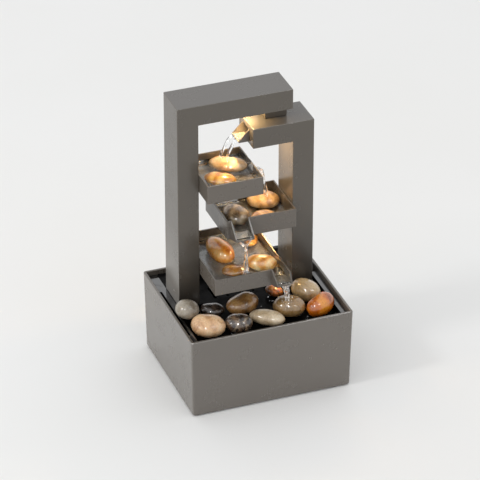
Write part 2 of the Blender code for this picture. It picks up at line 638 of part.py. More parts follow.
def build_light(mats):
    """A lens in the underside of the top beam, with the board and chip above it."""
    under = OUTER_TOP - BEAM_H
    half_w = LIGHT_W / 2
    half_d = LIGHT_D / 2
    x, y = LIGHT_X, LIGHT_Y

    def plate(margin, z0, z1):
        return box(x - half_w - margin, x + half_w + margin, y - half_d - margin, y + half_d + margin,
                   z0, z1)
    seat = under + SHELL + GAP
    window = plate(0.0, under + 0.2, seat + 0.5)
    flange = plate(LENS_FLANGE, seat, seat + 4.0)
    recess = plate(0.0, seat + LENS_T, seat + 9.0)
    solid("light_lens", mats["lens"], [window, flange], [recess])
    board_z = seat + 4.0 + GAP
    object_from("light_board", plate(LENS_FLANGE - 0.5, board_z, board_z + BOARD_T), mats["board"])
    chip = box(x - CHIP / 2, x + CHIP / 2, y - CHIP / 2, y + CHIP / 2,
               board_z - GAP - BOARD_T, board_z - GAP)
    object_from("light_chip", chip, mats["chip"])
    lead_z = board_z + BOARD_T + GAP + LIGHT_LEAD_R
    route = ((x - 2.0, y, lead_z), (x - 20.0, y, lead_z + 1.0), (-52.0, y, lead_z + 2.0),
             (-64.0, y, lead_z - 1.0), (LEAD_X, y, lead_z - 9.0), (LEAD_X, y, 290.0),
             (LEAD_X, LEAD_Y, 190.0), (LEAD_X, LEAD_Y, CONNECTOR_TOP + GAP))
    lead("light_lead", smooth_path(route, 7.0), LIGHT_LEAD_R, mats["cable"])
    barrel = LEAD_HOLE_R - 0.4
    collar = barrel + 1.9
    under_deck = DECK_Z - DECK_T - GAP
    connector = turned(((barrel - 0.7, CONNECTOR_Z0), (barrel, CONNECTOR_Z0 + 1.0),
                        (barrel, under_deck - 2.3), (collar, under_deck - 2.3), (collar, under_deck),
                        (barrel, under_deck), (barrel, CONNECTOR_TOP)), 20)
    object_from("light_connector", placed(connector, LEAD_X, LEAD_Y), mats["cable"], smooth=True)


# ---------------------------------------------------------------- pump and hose

def build_motor_housing(mat):
    """The sealed half of the pump, with the well that the rotor turns in."""
    body = box(PUMP_X - PUMP_HALF_W, PUMP_X + PUMP_HALF_W, MOTOR_Y0, MOTOR_Y1,
               PUMP_Z0, PUMP_Z1, 2.0)
    well = placed(cylinder(WELL_R, 0.0, WELL_END - MOTOR_Y0 + 5.0), PUMP_X, MOTOR_Y0 - 5.0, PUMP_Z,
                  along="Y")
    socket = placed(cylinder(SHAFT_R + PIN_CLEAR, 0.0, 6.0, 12), PUMP_X, WELL_END - 1.0, PUMP_Z,
                    along="Y")
    return solid("pump_housing", mat, [body], [well, socket])


def build_impeller_chamber(mat):
    """The front half of the pump: the chamber, its inlet holes and the outlet nozzle."""
    y0, y1 = CHAMBER_Y0, CHAMBER_Y1
    body = box(PUMP_X - PUMP_HALF_W, PUMP_X + PUMP_HALF_W, y0, y1, PUMP_Z0, PUMP_Z1, 1.5)
    nozzle = placed(turned(((NOZZLE_R, PUMP_Z1 - 2.0), (NOZZLE_R, NOZZLE_TOP - 1.0),
                            (NOZZLE_R - 0.5, NOZZLE_TOP)), 20), HOSE_X, HOSE_Y)
    chamber = placed(cylinder(CHAMBER_R, y0 + 3.0, y1 + 5.0, 28), PUMP_X, 0.0, PUMP_Z, along="Y")
    outlet = placed(cylinder(NOZZLE_BORE, PUMP_Z + 8.0, NOZZLE_TOP + 5.0, 16), HOSE_X, HOSE_Y)
    seat = placed(cylinder(3.3, y0 + 1.0, y0 + 5.0, 16), PUMP_X, 0.0, PUMP_Z, along="Y")
    inlets = []
    for i in range(INLETS):
        angle = 2 * math.pi * i / INLETS
        x = PUMP_X + INLET_CIRCLE * math.cos(angle)
        z = PUMP_Z + INLET_CIRCLE * math.sin(angle)
        inlets.append(placed(cylinder(INLET_R, y0 - 5.0, y0 + 5.0, 12), x, 0.0, z, along="Y"))
    return solid("impeller_chamber", mat, [body, nozzle], [chamber, outlet, seat] + inlets)


def build_rotor(mats):
    """The shaft and its bushes, which stay still, and the magnet and impeller, which turn."""
    x, z = PUMP_X, PUMP_Z
    bore = SHAFT_R + PIN_CLEAR
    shaft = placed(cylinder(SHAFT_R, CHAMBER_Y0 + 1.5, WELL_END + 3.0, 12), x, 0.0, z, along="Y")
    object_from("impeller_shaft", shaft, mats["ceramic"], smooth=True)
    front = placed(tube_ring(3.0, bore, CHAMBER_Y0 + 1.3, CHAMBER_Y0 + 4.2, 16), x, 0.0, z, along="Y")
    object_from("front_shaft_bush", front, mats["rubber"], smooth=True)
    rear = placed(tube_ring(6.5, bore, WELL_END - 3.3, WELL_END - 0.3, 20), x, 0.0, z, along="Y")
    object_from("rear_shaft_bush", rear, mats["rubber"], smooth=True)
    magnet = placed(tube_ring(MAGNET_R, bore, *MAGNET_Y, 24), x, 0.0, z, along="Y")
    set_origin(object_from("rotor_magnet", magnet, mats["magnet"], smooth=True), x, MAGNET_Y[0], z)
    hub = placed(cylinder(HUB_R, *HUB_Y, 20), x, 0.0, z, along="Y")
    disc = placed(cylinder(DISC_R, *DISC_Y, 28), x, 0.0, z, along="Y")
    vanes = []
    for i in range(VANES):
        vane = box(0.0, VANE_REACH, VANE_Y0, DISC_Y[0] + 0.5, -VANE_T / 2, VANE_T / 2)
        vane.transform(Matrix.Translation(Vector((x, 0.0, z)) * MM)
                       @ Matrix.Rotation(2 * math.pi * i / VANES + math.radians(20), 4, "Y"))
        vanes.append(vane)
    through = placed(cylinder(bore, 10.0, 40.0, 12), x, 0.0, z, along="Y")
    impeller = solid("impeller", mats["impeller"], [hub, disc] + vanes, [through])
    set_origin(impeller, x, DISC_Y[0], z)


def build_intake(mat, slider_mat):
    """The strainer that pulls off the pump's front, and the slide that throttles it."""
    half = PUMP_HALF_W - 0.5
    y0, y1 = INTAKE_Y0, CHAMBER_Y0 - GAP
    z0, z1 = PUMP_Z0 + 0.5, PUMP_Z1 - 0.5
    wall = INTAKE_WALL
    shell = box(PUMP_X - half, PUMP_X + half, y0, y1, z0, z1, 0.8)
    rail_low = PUMP_Z - SLIDER_H / 2 - GAP - RAIL_T
    rail_high = PUMP_Z + SLIDER_H / 2 + GAP
    rails = [box(PUMP_X - RAIL_HALF, PUMP_X + RAIL_HALF, y0 - 2.0, y0 + 0.7, z, z + RAIL_T)
             for z in (rail_low, rail_high)]
    hollow = box(PUMP_X - half + wall, PUMP_X + half - wall, y0 + wall, y1 + 5.0, z0 + wall, z1 - wall)
    slots = []
    for i in range(SLOTS):
        x = PUMP_X + SLOT_PITCH * (i - (SLOTS - 1) / 2)
        for low, high in ((-11.0, -6.5), (-3.0, 3.0), (6.5, 15.0)):
            slots.append(box(x - SLOT_W / 2, x + SLOT_W / 2, y0 - 0.5, y0 + wall + 0.5,
                             PUMP_Z + low, PUMP_Z + high))
    cover = solid("intake_cover", mat, [shell] + rails, [hollow] + slots)
    set_origin(cover, PUMP_X, y1, PUMP_Z)
    half_h = SLIDER_H / 2 - 0.1
    left = PUMP_X - RAIL_HALF
    plate = box(left, left + SLIDER_L, y0 - 1.8, y0 - GAP, PUMP_Z - half_h, PUMP_Z + half_h)
    knob_x = left + SLIDER_L / 2
    knob = box(knob_x - 1.5, knob_x + 1.5, y0 - 3.8, y0 - 1.0, PUMP_Z - 3.0, PUMP_Z + 3.0)
    slider = solid("flow_slider", slider_mat, [plate, knob])
    set_origin(slider, knob_x, y0 - GAP, PUMP_Z)


def build_suction_cups(mat):
    """Four cups that hold the pump to the basin's floor; each is hollow underneath."""
    z0 = FOOT_H + BASIN_FLOOR + GAP
    z1 = PUMP_Z0 - GAP
    profile = ((0.8, z0 + 1.4), (5.6, z0), (6.2, z0), (6.2, z0 + 0.6), (3.0, z0 + 2.6),
               (2.6, z0 + 3.2), (3.4, z1 - 1.0), (3.4, z1))
    places = [(x, y) for y in CUP_Y for x in CUP_X]
    for number, (x, y) in enumerate(places, 1):
        object_from(f"suction_cup_{number}", placed(turned(profile, 18), x, y), mat, smooth=True)


def build_riser_hose(mat):
    """The hose from the nozzle up the right column and along the lower beam to the chute."""
    bottom = PUMP_Z1 + 2.0
    straight = [(HOSE_X, HOSE_Y, bottom + (HOSE_TOP - HOSE_BEND - bottom) * i / 4) for i in range(5)]
    bend = []
    for i in range(1, 7):
        angle = math.radians(15 * i)
        bend.append((HOSE_X - HOSE_BEND * (1 - math.cos(angle)), HOSE_Y,
                     HOSE_TOP - HOSE_BEND * (1 - math.sin(angle))))
    end = [(CHUTE_BACK - 1.0, HOSE_Y, HOSE_TOP)]
    return object_from("riser_hose", hose_mesh(straight + bend + end, HOSE_R, HOSE_BORE), mat,
                       smooth=True)


def build_pump_lead(mat):
    """The pump's lead, up the back of the basin and into the gland."""
    x = PUMP_X
    route = ((x, MOTOR_Y1 + GAP, 30.0), (x, 70.0, 30.5), (x, 73.2, 36.0), (x, 72.6, 56.0),
             (x, 72.4, 78.0), (x, 72.7, 87.0), (x, 73.9, 90.7), (x, 76.6, GLAND_HOLE_Z),
             (x, 80.0, GLAND_HOLE_Z))
    return lead("pump_lead", smooth_path(route, 3.0), PUMP_LEAD_R, mat)


# ---------------------------------------------------------------- pebbles

def build_pebbles(mats):
    for seed, (name, x, y, z, length, width, thickness, turn, stone) in enumerate(PEBBLES):
        pebble = object_from(name, pebble_mesh(length, width, thickness, seed), mats[stone], smooth=True)
        pebble.location = Vector((x, y, z)) * MM
        pebble.rotation_euler = (0.0, 0.0, math.radians(turn))


# ---------------------------------------------------------------- the whole fountain

def main():
    for obj in list(bpy.data.objects):
        bpy.data.objects.remove(obj)
    taupe = material("taupe_plastic", (0.17, 0.155, 0.14), 0.55)
    dark = material("dark_pump_plastic", (0.02, 0.02, 0.022), 0.45)
    rubber = material("black_rubber", (0.015, 0.015, 0.015), 0.8)
    clear_hose = material("clear_hose", (0.75, 0.8, 0.78), 0.15, transmission=0.7)
    steel = material("screw_steel", (0.55, 0.55, 0.56), 0.3, metallic=1.0)
    deck = material("deck_plastic", (0.10, 0.095, 0.09), 0.5)
    stones = {name: material(name + "_pebble", colour, 0.3) for name, colour in STONES.items()}
    light_mats = {
        "lens": material("frosted_lens", (0.9, 0.86, 0.78), 0.4, transmission=0.6),
        "board": material("circuit_board", (0.03, 0.16, 0.06), 0.5),
        "chip": material("light_chip", (0.9, 0.75, 0.3), 0.4),
        "cable": material("black_cable", (0.02, 0.02, 0.02), 0.5),
    }
    rotor_mats = {
        "ceramic": material("shaft_ceramic", (0.85, 0.84, 0.8), 0.25),
        "rubber": rubber,
        "magnet": material("rotor_ferrite", (0.05, 0.05, 0.055), 0.4),
        "impeller": material("impeller_plastic", (0.75, 0.75, 0.72), 0.4),
    }
    build_basin(taupe)
    build_grommet(rubber)
    build_feet(rubber)
    build_deck(deck)
    build_column_screws(steel)
    build_frames(taupe)
    build_link(taupe)
    build_trays(taupe)
    build_spout_chute(taupe)
    build_light(light_mats)
    build_motor_housing(dark)
    build_impeller_chamber(dark)
    build_rotor(rotor_mats)
    build_intake(dark, rotor_mats["impeller"])
    build_suction_cups(rubber)
    build_riser_hose(clear_hose)
    build_pump_lead(light_mats["cable"])
    build_pebbles(stones)


main()
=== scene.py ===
"""Looks of the tabletop water fountain: moulded plastic, wet river pebbles, water and warm light.

Lengths are written in millimetres and turned into metres by MM. The camera looks from the
front left, and the fountain stands on a pale floor.
"""
import json
import math
import random

import bmesh
import bpy
from mathutils import Matrix, Vector, noise
from mathutils.bvhtree import BVHTree


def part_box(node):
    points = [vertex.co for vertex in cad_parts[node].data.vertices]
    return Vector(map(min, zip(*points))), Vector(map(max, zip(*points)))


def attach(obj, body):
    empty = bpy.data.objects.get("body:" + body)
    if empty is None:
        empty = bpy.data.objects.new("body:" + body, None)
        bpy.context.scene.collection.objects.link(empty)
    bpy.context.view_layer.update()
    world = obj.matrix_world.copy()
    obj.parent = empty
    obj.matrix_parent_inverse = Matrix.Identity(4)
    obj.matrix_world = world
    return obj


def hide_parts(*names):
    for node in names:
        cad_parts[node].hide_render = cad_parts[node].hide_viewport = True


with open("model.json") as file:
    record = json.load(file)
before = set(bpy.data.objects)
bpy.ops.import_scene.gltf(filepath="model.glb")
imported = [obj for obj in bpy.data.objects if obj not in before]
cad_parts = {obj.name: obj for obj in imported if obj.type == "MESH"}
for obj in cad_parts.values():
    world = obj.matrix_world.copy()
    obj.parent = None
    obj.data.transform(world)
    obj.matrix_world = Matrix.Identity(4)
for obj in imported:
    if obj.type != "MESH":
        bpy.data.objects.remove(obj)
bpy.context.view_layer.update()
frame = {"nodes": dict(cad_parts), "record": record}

MM = 0.001
TRAY_WALL = 1.8
TRAY_FLOOR = 2.0
CHUTE_WALL = 1.5
CHUTE_GAP = 0.1                 # gap between a chute's wall and the water in it
TONGUE = 5.0                    # how far a tray's tongue reaches into its column
WATER_CLEAR = 0.08              # gap between water and the plastic that holds it

# Outlets: the upper tray's centre in Y and its width, the middle chute's centre from the tray's
# left end and its width, and the lower chute's width from the tray's right end
UPPER_OUTLET_Y, UPPER_OUTLET = 14.0, 24.5
MIDDLE_CHUTE_X, MIDDLE_CHUTE = 15.5, 22.0
LOWER_CHUTE = 18.5

# Water level of each tray above its underside, and how far its outlet reaches out
UPPER_LEVEL, UPPER_REACH, UPPER_SILL = 14.0, 5.0, 13.0
MIDDLE_LEVEL, MIDDLE_REACH, MIDDLE_SILL = 8.1, 16.0, 7.0
LOWER_LEVEL, LOWER_REACH, LOWER_SILL = 10.6, 17.0, 9.5

# Deck heights: its pan lies below the first, its wet faces below the second, its shelf below the third; pan
# and shelf get painted shade
PAN_TOP, DECK_WET_TOP, SHELF_TOP = 91.0, 92.5, 95.0
STRAY_DROPS = 46
SEED = 7

# Where each stream lands on a stone and where it runs off it, in X and Y
SPOUT_LANDINGS, SPOUT_RUN = ((-14.5, 25.5), (-19.5, 32.5)), (-18.0, 17.0)
UPPER_LANDING, UPPER_RUN = (35.0, 30.0), (38.5, 24.0)
LOWER_LANDING, LOWER_RUN = (28.5, -49.0), (24.0, -56.0)

# Warm light: its colour, the lamp under the top beam, and the lamps that spread its glow
GLOW = (1.0, 0.66, 0.29)
LAMP_POWER = 0.086
REACH_STRENGTH = 0.42
REFLECTED_POWER = 0.085
TRAY_GLOW_POWER = 0.022
WALL_GLOW_POWER = 0.02

# Studio: an even sky, one small key lamp and two lamps that only make highlights
SKY_STRENGTH = 0.93
KEY_PLACE, KEY_POWER = (-2.2, -0.2, 2.0), 13.0
GLINTS = {"left_glint": ((-1.0, -1.4, 2.2), 22.0, 0.2), "right_glint": ((0.9, -1.2, 2.3), 8.0, 0.09)}

# Camera, in metres, degrees and millimetres of focal length
CAMERA_PLACE = (-1.102, -2.926, 2.039)
CAMERA_AZIMUTH, CAMERA_ELEVATION = -20.49, 30.95
FOCAL_LENGTH = 247.5


# ---------------------------------------------------------------- shader helpers

def tone(red, green, blue):
    """A display colour from 0 to 255 as the linear colour that shaders use."""
    linear = []
    for value in (red, green, blue):
        share = value / 255
        linear.append(share / 12.92 if share <= 0.04045 else ((share + 0.055) / 1.055) ** 2.4)
    return (*linear, 1.0)


def add(tree, kind, inputs=None, **settings):
    """A node with its settings, and its inputs as plain values or links."""
    made = tree.nodes.new(kind)
    for name, value in settings.items():
        setattr(made, name, value)
    for name, value in (inputs or {}).items():
        if isinstance(value, bpy.types.NodeSocket):
            tree.links.new(value, made.inputs[name])
        else:
            made.inputs[name].default_value = value
    return made


def ramp(tree, factor, stops):
    """A colour ramp with (position, colour) stops."""
    made = add(tree, "ShaderNodeValToRGB", {"Fac": factor})
    elements = made.color_ramp.elements
    while len(elements) < len(stops):
        elements.new(0.5)
    for element, (position, colour) in zip(elements, stops):
        element.position = position
        element.color = colour if len(colour) == 4 else (*colour, 1.0)
    return made.outputs["Color"]


def grey(value):
    return (value, value, value, 1.0)


def blend(tree, factor, a, b):
    """Mix two colours; 6 and 7 are the node's colour inputs and 2 is its colour output."""
    return add(tree, "ShaderNodeMix", {0: factor, 6: a, 7: b}, data_type="RGBA").outputs[2]


def calc(tree, operation, a, b=0.0, clamp=False):
    """One arithmetic step."""
    return add(tree, "ShaderNodeMath", {0: a, 1: b}, operation=operation, use_clamp=clamp).outputs[0]


def remap(tree, value, low, high, to_low, to_high):
    """Stretch a value from one range to another, held at both ends."""
    return add(tree, "ShaderNodeMapRange", {"Value": value, "From Min": low, "From Max": high,
                                            "To Min": to_low, "To Max": to_high}).outputs[0]


def position(tree):
    """The place on the object."""
    return add(tree, "ShaderNodeTexCoord").outputs["Object"]


def scaled(tree, colour, brightness):
    """A colour made brighter or darker by a factor."""
    made = add(tree, "ShaderNodeVectorMath", {0: colour, "Scale": brightness}, operation="SCALE")
    return made.outputs[0]


def put(tree, target, **values):
    """Link values to the inputs of a group's output or of a shader."""
    for name, value in values.items():
        tree.links.new(value, target[name.replace("_", " ")])


def relief(tree, shader, height, strength, distance, **below):
    """Bump the shader's normal by a height, with the distance in millimetres."""
    made = add(tree, "ShaderNodeBump", {"Strength": strength, "Distance": distance * MM,
                                        "Height": height, **below})
    put(tree, shader.inputs, Normal=made.outputs["Normal"])
    return made.outputs["Normal"]


def speckle(tree, where, scale, detail=3.0, roughness=0.5, distortion=0.0):
    """Soft noise, as a factor."""
    return add(tree, "ShaderNodeTexNoise", {"Vector": where, "Scale": scale, "Detail": detail,
                                            "Roughness": roughness,
                                            "Distortion": distortion}).outputs["Fac"]


def new_group(name, inputs, outputs):
    """A shader node group; returns its tree and its named inputs and outputs."""
    tree = bpy.data.node_groups.new(name, "ShaderNodeTree")
    for label, kind, default in inputs:
        socket = tree.interface.new_socket(name=label, in_out="INPUT", socket_type="NodeSocket" + kind)
        socket.default_value = default
    for label, kind in outputs:
        tree.interface.new_socket(name=label, in_out="OUTPUT", socket_type="NodeSocket" + kind)
    return tree, tree.nodes.new("NodeGroupInput").outputs, tree.nodes.new("NodeGroupOutput").inputs


def use_group(tree, group, inputs):
    """Place a node group in a material with its own values."""
    return add(tree, "ShaderNodeGroup", inputs, node_tree=group).outputs


# ---------------------------------------------------------------- shared effects

def moulded_plastic_group():
    """Fine spark-eroded grain, faint clouding and paler edges (partly wear, partly painted highlight) of a
    moulded part.
    """
    tree, given, out = new_group("moulded_plastic", (
        ("Colour", "Color", tone(110, 105, 98)),
        ("Clouding", "Float", 0.12),
        ("Grain Size", "Float", 0.45),
        ("Roughness", "Float", 0.5),
        ("Edge", "Float", 0.2)), (("Colour", "Color"), ("Roughness", "Float"), ("Height", "Float")))
    where = position(tree)
    clouds = speckle(tree, where, 26.0, 4.0, 0.55)
    drift = speckle(tree, where, 7.0, 2.0)
    scuffs = add(tree, "ShaderNodeMapping", {"Vector": where, "Scale": (900.0, 900.0, 60.0)})
    scuffs = speckle(tree, scuffs.outputs[0], 1.0, 2.0)
    shade = calc(tree, "MULTIPLY", calc(tree, "SUBTRACT", clouds, 0.5), given["Clouding"])
    shade = calc(tree, "ADD", shade, calc(tree, "MULTIPLY", calc(tree, "SUBTRACT", drift, 0.5),
                                          given["Clouding"]))
    shade = calc(tree, "ADD", shade, calc(tree, "MULTIPLY", calc(tree, "SUBTRACT", scuffs, 0.5), 0.015))
    brightness = calc(tree, "ADD", shade, 1.0)
    edge = add(tree, "ShaderNodeAttribute", attribute_name="edge").outputs["Fac"]
    # Paler rounded edges: partly wear, partly a painted highlight.
    worn = calc(tree, "MULTIPLY", edge, remap(tree, speckle(tree, where, 240.0, 3.0), 0.35, 0.6, 0.4, 1.0))
    brightness = calc(tree, "ADD", brightness, calc(tree, "MULTIPLY", worn, given["Edge"]))
    smudges = remap(tree, speckle(tree, where, 45.0, 4.0, 0.5), 0.35, 0.65, -0.03, 0.03)
    rough = calc(tree, "ADD", given["Roughness"], smudges)
    rough = calc(tree, "ADD", rough, calc(tree, "MULTIPLY", scuffs, 0.02))
    fineness = calc(tree, "DIVIDE", 1000.0, given["Grain Size"])
    grain = add(tree, "ShaderNodeTexNoise", {"Vector": where, "Scale": fineness, "Detail": 2.0})
    put(tree, out, Colour=scaled(tree, given["Colour"], brightness), Roughness=rough,
        Height=grain.outputs["Fac"])
    return tree


def wetness_group():
    """Where a part is wet: its marked faces, broken into a film and separate drops."""
    tree, given, out = new_group("wetness", (
        ("Amount", "Float", 0.8),
        ("Drop Size", "Float", 6.0)), (("Wet", "Float"), ("Height", "Float")))
    where = position(tree)
    marked = add(tree, "ShaderNodeAttribute", attribute_name="wet").outputs["Fac"]
    film = remap(tree, speckle(tree, where, 60.0, 3.0, 0.5, 0.6), 0.38, 0.52, 0.0, 1.0)
    fineness = calc(tree, "DIVIDE", 1000.0, given["Drop Size"])
    beads = add(tree, "ShaderNodeTexVoronoi", {"Vector": where, "Scale": fineness})
    beads = remap(tree, beads.outputs["Distance"], 0.18, 0.32, 1.0, 0.0)
    wet = calc(tree, "MULTIPLY", calc(tree, "MAXIMUM", film, beads), marked)
    wet = calc(tree, "MULTIPLY", wet, given["Amount"], clamp=True)
    put(tree, out, Wet=wet, Height=calc(tree, "MULTIPLY", calc(tree, "MAXIMUM", beads, film), marked))
    return tree


def river_stone_group():
    """A polished river stone: bent bands, clouds, hairline veins, pits and a worn skin."""
    tree, given, out = new_group("river_stone", (
        ("Light", "Color", tone(220, 190, 150)),
        ("Body", "Color", tone(180, 140, 95)),
        ("Dark", "Color", tone(110, 80, 50)),
        ("Vein", "Color", tone(235, 225, 210)),
        ("Turn", "Vector", (0.0, 0.0, 0.0)),
        ("Band Size", "Float", 6.0),
        ("Banding", "Float", 0.4),
        ("Veins", "Float", 0.3),
        ("Pits", "Float", 0.3)), (("Colour", "Color"), ("Roughness", "Float"), ("Height", "Float")))
    where = position(tree)
    turned = add(tree, "ShaderNodeMapping", {"Vector": where, "Rotation": given["Turn"]}).outputs[0]
    fineness = calc(tree, "DIVIDE", 1000.0, given["Band Size"])
    bands = add(tree, "ShaderNodeTexWave", {"Vector": turned, "Distortion": 5.5, "Detail": 3.0,
                                            "Detail Scale": 1.3, "Detail Roughness": 0.55},
                wave_type="BANDS", bands_direction="X")
    tree.links.new(calc(tree, "MULTIPLY", fineness, 0.16), bands.inputs["Scale"])
    stripe = calc(tree, "MULTIPLY", calc(tree, "SUBTRACT", bands.outputs["Fac"], 0.5), given["Banding"])
    clouds = speckle(tree, turned, 85.0, 5.0, 0.6, 0.8)
    mix = calc(tree, "ADD", stripe, remap(tree, clouds, 0.3, 0.7, 0.12, 0.88), clamp=True)
    dark_side = blend(tree, remap(tree, mix, 0.0, 0.5, 0.0, 1.0), given["Dark"], given["Body"])
    colour = blend(tree, remap(tree, mix, 0.5, 1.0, 0.0, 1.0), dark_side, given["Light"])
    thread = add(tree, "ShaderNodeTexNoise", {"Vector": turned, "Scale": 70.0, "Detail": 4.0,
                                              "Roughness": 0.45, "Distortion": 1.6})
    thread = calc(tree, "ABSOLUTE", calc(tree, "SUBTRACT", thread.outputs["Fac"], 0.5))
    thread = calc(tree, "MULTIPLY", remap(tree, thread, 0.0, 0.022, 1.0, 0.0), given["Veins"])
    colour = blend(tree, thread, colour, given["Vein"])
    pit = add(tree, "ShaderNodeTexVoronoi", {"Vector": where, "Scale": 420.0, "Randomness": 1.0})
    pit = remap(tree, pit.outputs["Distance"], 0.06, 0.2, 1.0, 0.0)
    sparse = remap(tree, speckle(tree, where, 130.0, 2.0), 0.52, 0.62, 0.0, 1.0)
    pit = calc(tree, "MULTIPLY", calc(tree, "MULTIPLY", pit, sparse), given["Pits"])
    colour = blend(tree, calc(tree, "MULTIPLY", pit, 0.7), colour, given["Dark"])
    skin = speckle(tree, where, 300.0, 4.0, 0.6)
    grains = remap(tree, speckle(tree, where, 620.0, 3.0, 0.6), 0.3, 0.7, 0.84, 1.12)
    rough = remap(tree, skin, 0.3, 0.7, 0.2, 0.42)
    rough = calc(tree, "ADD", rough, calc(tree, "MULTIPLY", pit, 0.3))
    height = calc(tree, "SUBTRACT", calc(tree, "MULTIPLY", skin, 0.35), pit)
    put(tree, out, Colour=scaled(tree, colour, grains), Roughness=rough, Height=height)
    return tree


def soft_dust_group():
    """Slight mottling and a fine matt texture for rubber, cable and small parts."""
    tree, given, out = new_group("soft_dust", (
        ("Colour", "Color", tone(30, 30, 30)),
        ("Dust", "Color", tone(90, 88, 84)),
        ("Amount", "Float", 0.2),
        ("Grain Size", "Float", 0.6),
        ("Roughness", "Float", 0.6)), (("Colour", "Color"), ("Roughness", "Float"), ("Height", "Float")))
    where = position(tree)
    patches = remap(tree, speckle(tree, where, 120.0, 5.0, 0.6), 0.4, 0.7, 0.0, 1.0)
    colour = blend(tree, calc(tree, "MULTIPLY", patches, given["Amount"]), given["Colour"],
                   given["Dust"])
    rough = calc(tree, "ADD", given["Roughness"], remap(tree, patches, 0.0, 1.0, -0.08, 0.12))
    fineness = calc(tree, "DIVIDE", 1000.0, given["Grain Size"])
    grain = add(tree, "ShaderNodeTexNoise", {"Vector": where, "Scale": fineness, "Detail": 3.0})
    put(tree, out, Colour=colour, Roughness=rough, Height=grain.outputs["Fac"])
    return tree


MOULDED = moulded_plastic_group()
WETNESS = wetness_group()
STONE = river_stone_group()
DUST = soft_dust_group()


# ---------------------------------------------------------------- materials

def start_material(name, **constants):
    """A material with its Principled shader and that shader's plain values."""
    mat = bpy.data.materials.new(name)
    mat.use_nodes = True
    shader = mat.node_tree.nodes["Principled BSDF"]
    for label, value in constants.items():
        shader.inputs[label.replace("_", " ")].default_value = value
    return mat, mat.node_tree, shader


def connect(tree, shader, parts, bump, distance):
    """Feed a group's colour, roughness and height to the shader."""
    put(tree, shader.inputs, Base_Color=parts["Colour"], Roughness=parts["Roughness"])
    relief(tree, shader, parts["Height"], bump, distance)


def plastic(name, colour, roughness, clouding=0.12, grain=0.45, edge=0.25, bump=0.06, **constants):
    """Moulded plastic with grain."""
    mat, tree, shader = start_material(name, **constants)
    parts = use_group(tree, MOULDED, {"Colour": colour, "Clouding": clouding, "Grain Size": grain,
                                      "Roughness": roughness, "Edge": edge})
    connect(tree, shader, parts, bump, 0.05)
    return mat


def paint_light_and_shade_by_facing(mat, low, high, front, side, top):
    """Darken front faces (painted shade) and pale left ones (painted light) towards the lower height; pale
    all top faces (painted light).
    """
    tree = mat.node_tree
    shader = tree.nodes["Principled BSDF"]
    colour = shader.inputs["Base Color"].links[0].from_socket
    place = add(tree, "ShaderNodeTexCoord")
    height = add(tree, "ShaderNodeSeparateXYZ", {0: place.outputs["Object"]}).outputs["Z"]
    facing = add(tree, "ShaderNodeSeparateXYZ", {0: place.outputs["Normal"]})
    near = remap(tree, height, low * MM, high * MM, 1.0, 0.0)
    front = remap(tree, facing.outputs["Y"], -0.9, -0.5, front, 0.0)
    side = remap(tree, facing.outputs["X"], -0.9, -0.5, side, 0.0)
    top = remap(tree, facing.outputs["Z"], 0.5, 0.9, 0.0, top)
    # Painted shade: a near-black brown on front faces near the foot.
    colour = blend(tree, calc(tree, "MULTIPLY", near, front), colour, tone(24, 21, 18))
    # Painted light: a paler tone on left faces near the foot.
    colour = blend(tree, calc(tree, "MULTIPLY", near, side), colour, tone(150, 146, 140))
    # Painted light: a paler, cooler tone on all top faces.
    colour = blend(tree, top, colour, tone(170, 174, 180))
    put(tree, shader.inputs, Base_Color=colour)


def wet_plastic(name, colour, roughness, amount, drop_relief=0.4, **constants):
    """Moulded plastic whose marked faces carry a film and drops of water."""
    mat, tree, shader = start_material(name, Coat_Roughness=0.03, Coat_IOR=1.4, **constants)
    parts = use_group(tree, MOULDED, {"Colour": colour, "Clouding": 0.14, "Grain Size": 0.45,
                                      "Roughness": roughness, "Edge": 0.3})
    film = use_group(tree, WETNESS, {"Amount": amount, "Drop Size": 5.0})
    darker = blend(tree, calc(tree, "MULTIPLY", film["Wet"], 0.45), parts["Colour"], grey(0.01))
    put(tree, shader.inputs, Base_Color=darker, Roughness=parts["Roughness"], Coat_Weight=film["Wet"])
    grain = relief(tree, shader, parts["Height"], 0.06, 0.05)
    relief(tree, shader, film["Height"], drop_relief, 0.3, Normal=grain)
    return mat


def dusty(name, colour, dust, roughness, amount=0.25, grain=0.6, bump=0.2, **constants):
    """Rubber, cable jacket and other small plain parts."""
    mat, tree, shader = start_material(name, **constants)
    parts = use_group(tree, DUST, {"Colour": colour, "Dust": dust, "Amount": amount,
                                   "Grain Size": grain, "Roughness": roughness})
    connect(tree, shader, parts, bump, 0.08)
    return mat


def stone(name, light, body, dark, vein=(236, 226, 210), turn=(0, 0, 0), band=6.0, banding=0.4,
          veins=0.25, pits=0.3, wet=0.7, glow=0.12):
    """A river stone: colours in display values, its banding turned in degrees."""
    mat, tree, shader = start_material(name, Coat_Weight=wet, Coat_Roughness=0.03, Coat_IOR=1.6,
                                       Subsurface_Weight=glow, Subsurface_Scale=3 * MM,
                                       Subsurface_Radius=(1.0, 0.75, 0.5))
    parts = use_group(tree, STONE, {
        "Light": tone(*light), "Body": tone(*body), "Dark": tone(*dark), "Vein": tone(*vein),
        "Turn": [math.radians(angle) for angle in turn], "Band Size": band, "Banding": banding,
        "Veins": veins, "Pits": pits})
    connect(tree, shader, parts, 0.25, 0.15)
    return mat


